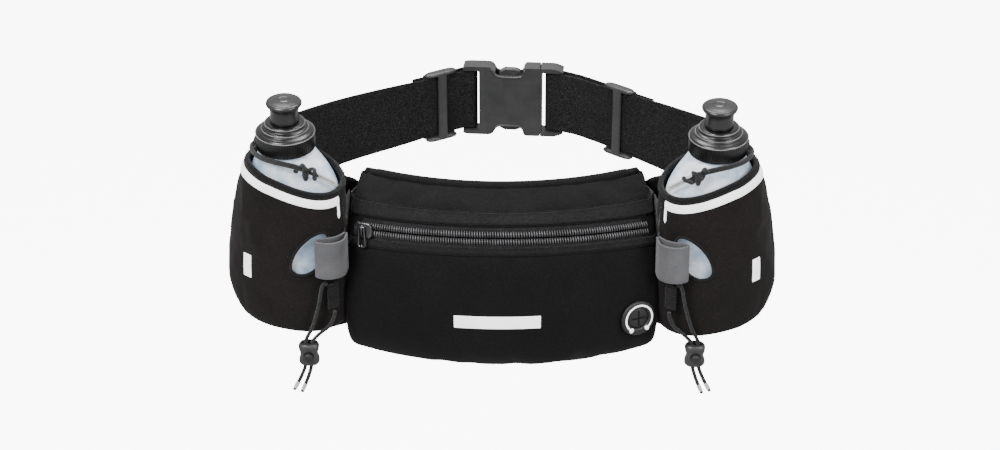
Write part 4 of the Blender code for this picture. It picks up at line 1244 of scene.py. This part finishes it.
def holster_point(side, phi, height, inset=0.0):
    """A point on the holster's skin: phi 0 is by the pouch, 90 faces out, 180 is the far edge."""
    c, s = math.cos(math.radians(phi)), math.sin(math.radians(phi))
    heights = [row[0] for row in HOLSTER_SIZE]
    near, far, front, back = (float(np.interp(height, heights, [row[k] for row in HOLSTER_SIZE]))
                              for k in (1, 2, 3, 4))
    cut_share = max(0.0, 1.0 - height / CORNER_CUT_HEIGHT) ** 1.5
    wide = (near if c > 0 else far - CORNER_CUT * cut_share) - inset
    deep = (front if s > 0 else back) - inset
    return HOLSTER_PLACE[side].point(wide * signed_power(c, HOLSTER_POWER),
                                     deep * signed_power(s, HOLSTER_POWER), height)


HOLSTER_PLACE = {side: holster_place(side) for side in SIDES}


def rim_height(phi):
    """The holster rim's height: low by the pouch, higher at the far edge."""
    away = min(abs(phi) if phi <= 180 else 360 - phi, 180) * 1.3
    return RIM_NEAR + (RIM_FAR - RIM_NEAR) * (1 - math.cos(math.radians(min(away, 180)))) / 2


def window_outline(side, grow=0.0, lift=0.0, count=48):
    """The leaf-shaped window's edge on the holster's skin, grown outwards by some millimetres."""
    points = []
    for k in range(count):
        a = 2 * math.pi * k / count
        wide = (WINDOW["half_w"] + grow) * math.cos(a)
        high = (WINDOW["half_h"] + grow) * math.sin(a)
        wide += 0.42 * high - 1.6
        high += 0.10 * wide - 1.0 - 1.5 * math.exp(-((math.degrees(a) - 200.0) / 40.0) ** 2)
        phi = WINDOW["phi"] - wide / 0.55
        points.append(holster_point(side, phi, WINDOW["h"] + high, -lift))
    return points


def build_holster(side, m):
    count = 96
    around = [360 * k / count for k in range(count)]
    shares = [0.0, 0.006, 0.015, 0.03, 0.055, 0.09, 0.13]
    shares += [0.18 + 0.82 * k / 20 for k in range(21)]
    tucks = {0.0: 5.5, 0.006: 3.2, 0.015: 1.6, 0.03: 0.7, 0.055: 0.2}
    rings = [[holster_point(side, phi, max((rim_height(phi) - BINDING - 0.2) * share, 0.0),
                            tucks.get(share, 0.0)) for phi in around] for share in shares]
    verts = points_of(rings) + [tuple(np.mean(np.array(rings[0]), axis=0))]
    faces = quads(len(rings), count, around=True)
    faces += [(c, (c + 1) % count, len(verts) - 1) for c in range(count)]
    pocket = make_object("holster_pocket_" + side, verts, faces, m["holster"])
    held = []
    for r, share in enumerate(shares):
        for c, phi in enumerate(around):
            down = (1.0 - share) * rim_height(phi)
            rise = share * rim_height(phi)
            if (down < 9.0 or abs(phi - 110.0) < 12 and 26 < rise < 54
                    or abs(phi - WINDOW["phi"]) < 38 and abs(rise - WINDOW["h"]) < 27):
                held.append(r * count + c)
    simulate(pocket, held, pressure=2.0, slack=0.010, cap=0.9)
    rumple(pocket, [(26.0, 0.45), (11.0, 0.16)], 8.0 if side == "left" else 15.0)
    sample = pocket.data.polygons[count * 12]
    if sample.normal.dot(sample.center - HOLSTER_PLACE[side].origin * MM) < 0:
        pocket.data.flip_normals()
    thicken(pocket, HOLSTER_WALL - 0.2)
    apply_modifiers(pocket)
    opening = [window_outline(side, 0.0, lift) for lift in (-6.0, 6.0)]
    cut_away(pocket, [stack("window_shape_" + side, opening, m["holster"])])
    settle(shade(pocket, 60), "pouch", "holster_fabric", "holster_" + side)
    settle(tube("window_binding_" + side, window_outline(side, 0.2, 0.05), 0.75, m["binding"], 8,
                closed=True), "pouch", "holster_fabric")
    sew("window_stitch_" + side, window_outline(side, 3.6, 0.12), m["binding"], 2.1, 1.3, 0.2,
        "holster_fabric", closed=True)

    section = [(-0.5, 0.0), (-0.95, 0.7), (-1.05, 1.7), (-0.8, 2.8), (0.0, 3.5), (1.0, 3.6),
               (1.8, 3.0), (2.0, 1.8), (1.9, 0.0)]
    rings = [[holster_point(side, phi, rim_height(phi) - BINDING + rise - 0.1, inset + 0.25)
              for inset, rise in section] for phi in around]
    settle(closed_rings("rim_binding_" + side, rings, m["binding"]), "pouch", "webbing_black",
           "holster_binding_" + side)
    for k, rise in enumerate((0.9, 2.6)):
        line = [holster_point(side, phi, rim_height(phi) - BINDING + rise, -0.85)
                for phi in around]
        sew(f"rim_stitch_{side}_{k}", line, m["band"], 2.2, 1.5, 0.18, "webbing_black", closed=True)

    arc = [PIPING_START + (205 - PIPING_START) * k / 90 for k in range(91)]
    grids = [[[holster_point(side, phi, rim_height(phi) - BINDING - 0.7 - PIPING * k / 5,
                             inset - (0.35 * math.sin(math.pi * k / 5) if inset < -0.5 else 0.0))
               for phi in arc] for k in range(6)] for inset in (-0.75, -0.1)]
    settle(slab("rim_piping_" + side, grids, m["piping"], 0.3), "pouch", "reflective_white",
           "reflective_piping_" + side)

    top = rim_height(PIPING_START) - BINDING - PIPING
    tick = [holster_point(side, PIPING_START + 1.2, top + 1.0 - 11.0 * k / 8, -0.35)
            for k in range(9)]
    settle(tube("piping_tick_" + side, tick, rounded_path_radii(9, 0.8, 2), m["piping"], 8),
           "pouch", "reflective_white")

    grids = [[[holster_point(side, 106 + 9.0 * c / 6, 32 + 16 * r / 10, inset) for c in range(7)]
              for r in range(11)] for inset in (-0.7, -0.1)]
    settle(slab("tab_" + side, grids, m["piping"], 0.3), "pouch", "reflective_white",
           "reflective_tab_" + side)

    seam = [holster_point(side, -4.0, 12.0 + 74.0 * k / 40, -0.25) for k in range(41)]
    sew("holster_side_stitch_" + side, seam, m["woven"], 2.4, 1.7, 0.28, "holster_fabric")
    for k, height in enumerate((4.6, 7.4)):
        foot = [holster_point(side, phi, height, -0.2) for phi in around]
        sew(f"holster_foot_stitch_{side}_{k}", foot, m["binding"], 2.4, 1.7, 0.24,
            "holster_fabric", closed=True)


def build_bottle(side, m):
    place = bottle_place(side)
    count = 96
    heights = [row[0] for row in BOTTLE]
    fine = sorted(set(list(np.linspace(0, 112, 57)) + heights))
    smooth = np.array(curve_points(BOTTLE[:10], 6))

    def size(height):
        """Half width, half depth and shift: smooth on the body, straight at the neck."""
        line = np.array(BOTTLE) if height > BOTTLE[9][0] else smooth
        return tuple(float(np.interp(height, line[:, 0], line[:, k])) for k in (1, 2, 3))

    def ring(height, inset=0.0):
        wide, deep, shift = size(height)
        groove = 0.7 * math.exp(-((height - 30.0) / 2.0) ** 2) if inset == 0.0 else 0.0
        return place.ring(wide - inset - groove, deep - inset - groove, height, count, x=shift)

    outer = [ring(h) for h in fine if h <= 118]
    outer += [ring(114.0), ring(118.0)]
    inner = [ring(max(h, BOTTLE_WALL + 0.3), BOTTLE_WALL)
             for h in [118.0, 112.0] + [h for h in reversed(fine) if h > 1]]
    shell = stack("bottle_shell_" + side, outer + inner, m["bottle"])
    settle(shell, "bottle_" + side, "bottle_plastic", "bottle_" + side)

    def lathe(profile, sides, ribs=0.0, low=0.0, high=0.0):
        rings = []
        for radius, height in profile:
            line = []
            for k, a in enumerate(turns(sides)):
                r = radius
                if ribs and low <= height <= high:
                    r -= ribs * (0.5 + 0.5 * math.cos(2 * math.pi * k * CAP_RIBS / sides))
                line.append(place.point(r * math.cos(a), r * math.sin(a), height))
            rings.append(line)
        return rings

    r, c, n = CAP_RADIUS, CAP_BOTTOM, NOZZLE_BOTTOM - 0.4
    cap = [(5.2, NOZZLE_TOP - 4.0), (5.2, n + 0.2), (5.8, n), (10.4, n), (10.9, n - 0.15),
           (11.4, n - 0.6), (11.5, n - 1.2), (11.5, n - 2.4), (11.8, n - 2.8), (12.6, n - 3.0),
           (13.2, n - 3.2), (13.5, n - 3.7), (13.55, n - 4.5), (13.9, n - 4.9), (15.2, n - 5.3),
           (16.2, n - 5.8), (r - 0.25, n - 6.4), (r - 0.05, n - 7.2), (r, n - 7.9),
           (r, c + 1.4), (r, c + 0.8), (r - 0.15, c + 0.3), (r - 0.6, c), (14.8, c),
           (14.6, c + 0.4), (14.6, c + 9.0), (14.2, c + 9.4), (4.0, c + 9.4)]
    settle(stack("cap_shell_" + side, lathe(cap, 288, 0.42, c + 0.75, n - 7.8), m["cap"]),
           "cap_" + side, "cap_plastic", "bottle_cap_" + side)
    # painted highlight: pale rings on the cap's step edges, where the glossy black cap shows bright reflections
    for k, (radius, height) in enumerate(((11.5, n - 1.0), (13.5, n - 3.9), (r - 0.1, n - 6.9))):
        settle(tube(f"cap_highlight_ring_{side}_{k}", place.ring(radius, radius, height, 96), 0.27,
                    m["bead"], 8, closed=True), "cap_" + side, "cap_plastic")
    b, t = NOZZLE_BOTTOM, NOZZLE_TOP
    nozzle = [(5.6, t - 2.8), (5.6, b + 0.3), (6.0, b), (8.3, b), (8.6, b + 0.4), (8.45, b + 2),
              (8.2, b + 4), (8.2, b + 6), (8.5, t - 5.4), (9.2, t - 4.3), (10.0, t - 3.4),
              (10.35, t - 2.7), (10.4, t - 2.1), (10.1, t - 1.5), (9.4, t - 1.0), (8.6, t - 0.75),
              (8.2, t - 0.85), (7.8, t - 0.75), (6.2, t - 0.4), (4.4, t - 0.2), (3.4, t - 0.1),
              (3.0, t - 0.35), (2.6, t - 0.15), (1.2, t), (0.3, t)]
    settle(stack("nozzle_shell_" + side, lathe(nozzle, 96), m["nozzle"]), "nozzle_" + side,
           "cap_plastic", "nozzle_" + side)


def build_retainer(side, m):
    """The elastic loop over the bottle's shoulder, its pull knot, and the pale cords beyond it."""
    place = bottle_place(side)
    spots = curve_points(RETAINER, 8)
    route = [place.point(*spot) for spot in spots]
    start, end = int(len(route) * 0.64), int(len(route) * 0.84)
    settle(tube("retainer_band_" + side, route[:end], rounded_path_radii(end, 1.7, 2), m["cord"],
                14, 0.7), "pouch", "cord_black", "retainer_loop_" + side)
    for name, out in (("a", 1.0), ("b", -1.0)):
        line = [place.point(spot[0], spot[1] + out * 0.4, spot[2] + out * 1.3)
                for spot in spots[end - 6:]]
        settle(tube(f"retainer_cord_{side}_{name}", line, rounded_path_radii(len(line), 0.8, 2),
                    m["light_cord"], 10), "pouch", "cord_black")
    knot = []
    for k in range(25):
        share = k / 24
        i = min(int(start + (end - start) * share), len(route) - 3)
        along = (Vector(route[i + 2]) - Vector(route[i - 2])).normalized()
        out = (place.y - along * place.y.dot(along)).normalized()
        up = along.cross(out)
        wrap = 2 * math.pi * 2.5 * share
        wide = 1.7 + 0.7 * math.sin(math.pi * share)
        knot.append(tuple(Vector(route[i]) + out * (wide * math.cos(wrap) + 0.6)
                          + up * wide * math.sin(wrap) * 1.2))
    knot = curve_points(knot, 3)
    settle(tube("retainer_knot_" + side, knot, rounded_path_radii(len(knot), 1.15, 4), m["cord"],
                10), "pouch", "cord_black")
    i = (start + end) // 2
    flap = [Vector(route[i]) + place.y * 2.2 - place.z * drop
            for drop in (-3.4, -1.5, 1.0, 3.6, 5.4)]
    settle(tube("retainer_tail_" + side, flap, [1.3, 1.8, 1.9, 1.7, 1.0], m["cord"], 12, 0.5),
           "pouch", "cord_black")


def build_gel_loop(side, m):
    """A flat elastic loop beside the pouch, open above and below, folded at its far edge."""
    place = HOLSTER_PLACE[side]
    spots = curve_points(GEL_BAND, 8)
    grids = [[], []]
    for height in span(GEL_LOW, GEL_HIGH, 15):
        line = []
        for phi, off in spots:
            reach = Vector(holster_point(side, phi, height, -off)) - place.origin
            line.append((reach.dot(place.x), reach.dot(place.y)))
        for grid, shift in zip(grids, (GEL_THICK / 2, -GEL_THICK / 2)):
            grid.append([place.point(x, y, height + GEL_RISE * (spot[0] - GEL_MIDDLE))
                         for (x, y), spot in zip(offset_path(line, shift), spots)])
    settle(slab("gel_band_" + side, grids, m["grey"], 0.45, 3), "pouch", "elastic_grey",
           "gel_loop_" + side)
    for k, height in enumerate((GEL_LOW + 1.6, GEL_HIGH - 1.6)):
        line = [holster_point(side, phi, height + GEL_RISE * (phi - GEL_MIDDLE),
                              -off - GEL_THICK / 2 - 0.12) for phi, off in spots[4:36]]
        sew(f"gel_stitch_{side}_{k}", line, m["grey"], 2.0, 1.3, 0.16, "elastic_grey")


def build_gusset(side, m):
    """The speckled elastic gusset between the pouch's end and the holster's side seam."""
    grids = []
    for back in (0.0, 1.0):
        grid = []
        for height in np.linspace(20.0, 82.0, 32):
            seam = Vector(holster_point(side, -7.0, height, 0.2))
            end = Vector(arc_point(SIGN[side] * (half_angle(seam.z, 17.0) + 0.9 / 181.0),
                                   BACK_RADIUS + 17.0, seam.z))
            row = []
            for k in range(9):
                t = k / 8
                spot = seam.lerp(end, t)
                spot.y += 1.6 * math.sin(math.pi * t) + back
                row.append(tuple(spot))
            grid.append(row)
        grids.append(grid)
    settle(slab("gusset_" + side, grids, m["woven"], 0.3), "pouch", "webbing_black")


def build_side_binding(side, m):
    """The speckled elastic strip on each end of the pouch, beside the holster."""
    grids = [[[arc_point(SIGN[side] * (half_angle(h, d) + out / (BACK_RADIUS + 12)),
                         BACK_RADIUS + d, h) for d in np.linspace(3.0, 15.0, 7)]
              for h in np.linspace(-30.0, 20.0, 26)] for out in (1.35, 0.35)]
    settle(slab("side_tape_" + side, grids, m["woven"], 0.35), "pouch", "webbing_black",
           "side_binding_" + side)


# ---------------------------------------------------------------- bib cords and locks

def cord_route(side, name):
    """A bib strand's path, from its keeper to its tip."""
    drop = ANCHOR[side][2] - ANCHOR["left"][2]
    return [mirror((x, y, z + drop), side) for x, y, z in curve_points(STRANDS[name], 4)]


def build_bib_cords(side, m):
    for name in STRANDS:
        route = cord_route(side, name)
        tip = settle(tube(f"cord_tip_{side}_{name}", route[-4:], [1.0, 1.25, 1.25, 0.9],
                          m["light_cord"]), "bib_cord_" + side, "cord_black")
        piece = settle(tube(f"bib_strand_{side}_{name}", route, STRAND_RADIUS, m["cord"]),
                       "bib_cord_" + side, "cord_black", f"bib_cord_{side}_{name}")
        yield side, name, piece, tip, [tuple(np.array(p) * MM) for p in route]


def build_bib_hardware(side, m):
    ax, ay, az = ANCHOR[side]
    turn = turned((ax, ay), -35 * SIGN[side], az)
    ribs = []
    for k in range(41):
        swell = 0.25 * math.cos(2 * math.pi * k / 5)
        ribs.append(turn.ring(3.8 + 0.2 * swell, 0.75 + swell * 0.6, -8.0 + 16.0 * k / 40, 24,
                              power=(0.5, 0.7), start=RING_START))
    settle(stack("bib_keeper_" + side, ribs, m["band"]), "pouch", "webbing_black",
           "bib_anchor_" + side)


def lock_rings(place, half_x, half_y, bulge, reach):
    """Rings of an hourglass toggle, drawn in at its ends."""
    rings = []
    for z in span(-reach, reach, 21):
        waist = 1.0 - bulge * math.exp(-((z / 2.6) ** 2))
        near_end = min(1.0, min(z + reach, reach - z) / 2.0)
        end = min(1.0, 0.80 + 0.20 * math.sin(math.pi / 2 * near_end))
        rings.append(place.ring(half_x * waist * end, half_y * end, z, 48, power=(0.75, 0.75)))
    return rings


def build_lock(side, m):
    """The hourglass toggle on the two strands, and its sprung button."""
    place = Place(LOCK[side], (1, 0, 0), (0, 1, 0), (0, 0, 1))
    body = stack("lock_body_" + side, lock_rings(place, 6.2, 4.8, 0.16, 7.0), m["lock"])
    tunnel = [place.ring(wide, 1.8, z) for wide, z in
              ((4.9, -9.0), (4.2, -4.0), (3.9, 0.0), (4.2, 4.0), (4.9, 9.0))]
    bore = [place.disc(3.0, y) for y in (-9.0, -1.0)]
    cut_away(body, [stack("lock_tunnel_" + side, tunnel, m["lock"]),
                    stack("lock_bore_" + side, bore, m["lock"])])
    settle(bevel(shade(body, 40), 0.3, 2, 50), "cord_lock_" + side, "buckle_plastic",
           "cord_lock_" + side)
    rings = [place.disc(radius, y) for radius, y in
             ((0.3, -7.6), (1.6, -7.6), (2.3, -7.3), (2.6, -6.6), (2.6, -3.4), (2.4, -3.0),
              (0.3, -3.0))]
    plunger = settle(stack("lock_plunger_" + side, rings, m["rubber"]), "lock_button_" + side,
                     "rubber_black", "cord_lock_button_" + side)
    return [body, plunger]


# ---------------------------------------------------------------- strap, sliders and buckle

def strap_path(side):
    """Inner run, turn around the buckle bar, and the outer run back past the slider."""
    buckle = turned(BUCKLE_CENTRE, BUCKLE_TURN)
    sign = SIGN[side]
    reach = 3.7
    bar = BAR_INNER[side]
    run = curve_points(STRAP[side], 3)
    bend = [buckle.point(sign * (bar + BAR_WIDTH), -reach, 0)[:2]]
    for k in range(7):
        a = math.radians(-90 + 180 * k / 6)
        bend.append(buckle.point(sign * (bar + 1.9 - reach * math.cos(a)),
                                 reach * math.sin(a), 0)[:2])
    bend.append(buckle.point(sign * (bar + BAR_WIDTH), reach, 0)[:2])
    back = offset_path(run, -RETURN_OFFSET * sign)[-RETURN_POINTS[side]:]
    back.reverse()
    return [np.array(p[:2], float) for p in run] + [np.array(p) for p in bend] + back, len(run)


def strap_edges(side):
    """The strap's path, its lower and upper edges, and the inner run's length."""
    path, run = strap_path(side)
    share = [min(i / (run * 0.8), 1.0) for i in range(len(path))]
    low = [-STRAP_WIDE_LOW + (STRAP_WIDE_LOW - STRAP_NARROW) * k for k in share]
    high = [STRAP_WIDE_HIGH + (STRAP_NARROW - STRAP_WIDE_HIGH) * k for k in share]
    return path, low, high, run


def build_strap(side, m):
    path, low, high, run = strap_edges(side)
    grids = []
    for distance in (STRAP_THICK / 2, -STRAP_THICK / 2):
        line = offset_path(path, distance)
        grids.append([[(p[0], p[1], low[i] + (high[i] - low[i]) * r / (STRAP_ROWS - 1))
                       for i, p in enumerate(line)] for r in range(STRAP_ROWS)])
    band = bevel(sheet("strap_web_" + side, *grids, m["strap"], sharp=35), 0.5, 3, 50)
    settle(band, "strap_" + side, "webbing_black", "strap_" + side)
    for face, out in (("a", STRAP_THICK / 2 + 0.05), ("b", -STRAP_THICK / 2 - 0.05)):
        line = offset_path(path, out)
        for name, edge, step in (("low", low, 2.2), ("high", high, -2.2)):
            seam = [(p[0], p[1], edge[i] + step) for i, p in enumerate(line)][1:run]
            sew(f"strap_rib_{side}_{face}_{name}", seam, m["band"], 1.6, 1.3, 0.22,
                "webbing_black", body="strap_" + side)
    tail = len(path) - 2
    for name, out in (("a", STRAP_THICK / 2 + 0.08), ("b", -STRAP_THICK / 2 - 0.08)):
        line = offset_path(path, out)
        for k, share in enumerate((0.2, 0.5)):
            spot = line[tail] + (line[tail - 1] - line[tail]) * share
            cross = [(spot[0], spot[1], z)
                     for z in np.linspace(low[tail] + 2.0, high[tail] - 2.0, 20)]
            sew(f"strap_hem_{side}_{name}_{k}", cross, m["band"], 2.0, 1.5, 0.22, "webbing_black",
                body="strap_" + side)

    tab = [mirror(p, side) for p in [(-145.6, -42.6), (-149.9, -34.6)]]
    out = (WING_THICK / 2 + 1.1) * SIGN[side]
    spots = [np.array(tab[0]) + (np.array(tab[1]) - np.array(tab[0])) * k / 8 for k in range(9)]
    grids = []
    for shift in (0.6, -0.6):
        line = offset_path(offset_path(spots, out), shift)
        grids.append([[(p[0], p[1], z) for p in line] for z in np.linspace(-24.0, 24.0, 21)])
    settle(slab("strap_tab_" + side, grids, m["strap"], 0.35), "pouch", "webbing_black",
           "strap_anchor_" + side)


def build_strap_joint(side, m):
    """The sewn overlap that carries the wing into the strap, and bends with it."""
    path = strap_path(side)[0]
    wing_end = [np.array(mirror(tuple(WING_LINE[i][:2]), side)) for i in (-7, -5, -3, -1)]
    lead = wing_end + [np.array(path[i]) for i in (1, 3, 5)]
    spots = [p[:2] for p in curve_points([(*p, 0.0) for p in lead], 4)]
    normals = plan_normals(spots)
    grids = []
    for thick in (0.0, 1.0):
        line = []
        for k, (spot, normal) in enumerate(zip(spots, normals)):
            share = min(max((k - 8) / 6.0, 0.0), 1.0)
            out = 3.0 - 2.05 * share * share * (3.0 - 2.0 * share) + thick
            line.append(spot + normal * out * SIGN[side])
        grids.append([[(p[0], p[1], z) for p in line] for z in np.linspace(*OVERLAP_HEIGHTS, 25)])
    piece = slab("strap_overlap_" + side, grids, m["strap"], 0.35)
    apply_modifiers(piece)
    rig.slot(piece, "webbing_black")
    start = Vector((*spots[8], 0.0)) * MM
    end = Vector((*spots[-5], 0.0)) * MM
    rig.blend(piece, "pouch", "strap_" + side, tuple(start), tuple(end))


def bar_rings(place, x, y, half_x, half_y, reach):
    """Rings of a rounded upright bar, its ends a little fuller."""
    rings = []
    for k, z in enumerate(span(-reach, reach, 25)):
        swell = 1.0 + 0.10 * (2.0 * k / 24 - 1.0) ** 8
        rings.append(place.ring(half_x * swell, half_y, z, x=x, y=y, power=(0.6, 0.6),
                                start=RING_START))
    return rings


def build_triglide(side, m):
    """A tri-glide: two end loops, drawn out to rounded tips, and the bars the strap passes."""
    x, y, turn = SLIDER_SPOT[side]
    place = turned((x, y), turn)
    middle = STRAP_NARROW + 2.45
    for name, sign in (("top", 1), ("low", -1)):
        rings = []
        for k in range(41):
            along = 2.0 * k / 40 - 1.0
            bulge = math.sqrt(max(0.0, 1.0 - abs(along) ** 5))
            rings.append([place.point(along * 11.9,
                                      3.45 * bulge * signed_power(math.cos(a), 0.8) - 0.1,
                                      sign * (middle + (1.65 * bulge + 0.1)
                                                 * signed_power(math.sin(a), 0.8)))
                          for a in turns(32, RING_START)])
        settle(stack(f"triglide_{name}_{side}", rings, m["buckle"]), "slider_" + side,
               "buckle_plastic", *(["strap_slider_" + side] if name == "top" else []))
    reach = STRAP_NARROW + 2.2
    for name, *shape in (("front", 0.0, -2.5, 3.3, 1.05), ("left", -9.9, 2.3, 1.9, 0.95),
                         ("right", 9.9, 2.3, 1.9, 0.95)):
        settle(stack(f"triglide_{name}_{side}", bar_rings(place, *shape, reach), m["buckle"]),
               "slider_" + side, "buckle_plastic")


def rounded_outline(corners):
    """An outline from (x, z, radius) corners, each turned into an arc."""
    out = []
    count = len(corners)
    for i, (x, z, radius) in enumerate(corners):
        here = Vector((x, z))
        back = (Vector(corners[i - 1][:2]) - here).normalized()
        ahead = (Vector(corners[(i + 1) % count][:2]) - here).normalized()
        radius = min(radius, 0.45 * (Vector(corners[i - 1][:2]) - here).length,
                     0.45 * (Vector(corners[(i + 1) % count][:2]) - here).length)
        if radius < 0.05:
            out.append((x, z))
            continue
        for k in range(7):
            t = k / 6
            out.append(tuple(here + back * radius * (1 - t) ** 2 + ahead * radius * t ** 2))
    return out


def plate(name, place, outline, half, mat):
    """A flat plate: an outline in local x and z with a thickness across y."""
    verts = [place.point(a, level, b) for level in (-half, half) for a, b in outline]
    n = len(outline)
    faces = [tuple(range(n)), tuple(range(2 * n - 1, n - 1, -1))]
    faces += [(i, n + i, n + (i + 1) % n, (i + 1) % n) for i in range(n)]
    obj = make_object(name, verts, faces, mat)
    with editing(obj.data) as work:
        bmesh.ops.triangulate(work, faces=[f for f in work.faces if len(f.verts) > 4],
                              ngon_method="EAR_CLIP")
    return obj


def moulded(obj, width, angle=32):
    return finish_hard(bevel(obj, width, 4, angle))


def build_buckle(m):
    place = turned(BUCKLE_CENTRE, BUCKLE_TURN)
    h, t, w = BUCKLE_HALF_HEIGHT, BUCKLE_HALF_THICK, STRAP_NARROW + 0.8
    upper = [(-35.0, w, 0.8), (-35.0, h - 0.6, 2.6), (-31.0, h, 2.0), (-15.5, h, 2.6),
             (-12.4, 18.4, 3.0), (4.6, 18.4, 3.0), (6.4, h, 1.8), (17.0, h, 1.4)]
    lower = [(x, -z, r) for x, z, r in reversed(upper)]
    outline = rounded_outline(upper + lower + [(-24.0, -w, 1.2), (-24.0, w, 1.2)])
    socket = plate("buckle_socket", place, outline, t, m["buckle"])
    room = plate("socket_room", place, [(-14.5, -20.5), (40.0, -20.5), (40.0, 20.5), (-14.5, 20.5)],
                 4.2, m["buckle"])
    settle(moulded(cut_away(socket, [room]), 1.5), "strap_left", "buckle_plastic", "buckle_female")
    settle(stack("buckle_bar_left", bar_rings(place, -30.7, 0.0, 2.7, 1.7, w + 0.6),
                 m["buckle"]), "strap_left", "buckle_plastic")
    for end, sign in (("top", 1), ("low", -1)):
        for face, y in (("front", -t + 0.2), ("back", t - 0.2)):
            lip = [place.point(x, y, sign * z) for x, z in
                   ((-15.8, h - 1.0), (-14.4, 21.2), (-12.6, 18.6), (-9.0, 17.6), (-3.9, 17.5),
                    (1.4, 17.6), (4.9, 18.6), (6.2, 21.2), (6.6, h - 1.0))]
            line = curve_points(lip, 6)
            settle(tube(f"buckle_lip_{end}_{face}", line, rounded_path_radii(len(line), 0.85, 3),
                        m["buckle"], 10), "strap_left", "buckle_plastic")

    edge = 17.1
    upper = [(edge, h, 1.2), (27.0, h, 2.5), (32.4, h - 2.2, 3.0), (32.5, w, 0.7)]
    lower = [(x, -z, r) for x, z, r in reversed(upper)]
    outline = rounded_outline(upper + [(edge + 0.9, w, 1.0), (edge + 0.9, -w, 1.0)] + lower)
    settle(moulded(plate("buckle_plug", place, outline, t, m["buckle"]), 1.5), "strap_right",
           "buckle_plastic", "buckle_male")
    settle(stack("buckle_bar_right", bar_rings(place, 26.3, 0.0, 2.7, 1.7, w + 0.6),
                 m["buckle"]), "strap_right", "buckle_plastic")
    tongue = rounded_outline([(-9.0, -4.0, 1.5), (-9.0, 4.0, 1.5), (11.0, 5.5, 1.5),
                              (11.0, 19.0, 1.0), (edge + 0.3, 19.0, 0.0), (edge + 0.3, -19.0, 0.0),
                              (11.0, -19.0, 1.0), (11.0, -5.5, 1.5)])
    settle(moulded(plate("buckle_tongue", place, tongue, 1.6, m["buckle"]), 0.4), "strap_right",
           "buckle_plastic")
    for end in ("upper", "lower"):
        arm = copy_node("buckle_prong_" + end, "buckle_arm_" + end, m["buckle"])
        settle(moulded(arm, 1.2, 30), "prong_" + end, "buckle_plastic", "buckle_prong_" + end)


# ---------------------------------------------------------------- whole scene

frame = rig.load()
cad_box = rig.bounds()
build_camera()
looks = build_materials()

strands = [strand for side in SIDES for strand in build_bib_cords(side, looks)]
locks = {}
for side in SIDES:
    build_bib_hardware(side, looks)
    locks[side] = build_lock(side, looks)
for side, name, piece, tip, path in strands:
    length = sum((Vector(b) - Vector(a)).length for a, b in zip(path, path[1:]))
    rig.cord(piece, exit=path[0], length=length, diameter=2 * STRAND_RADIUS * MM, far_end="bare",
            stiffness="limp", lay="hanging", path=path,
            with_pieces=[tip] + (locks[side] if name == "a" else []))

for build in (build_back, build_pouch, build_zip_slider, build_port, build_mark):
    build(looks)
for side in SIDES:
    for build in (build_wing, build_holster, build_bottle, build_retainer, build_gel_loop,
                  build_side_binding, build_gusset, build_strap, build_strap_joint):
        build(side, looks)
for side in SIDES:
    build_triglide(side, looks)
build_buckle(looks)
build_stage()

with open("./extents.json", "w") as out:
    json.dump({"cad": [list(p) for p in cad_box], "visual": [list(p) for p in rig.bounds()]}, out)
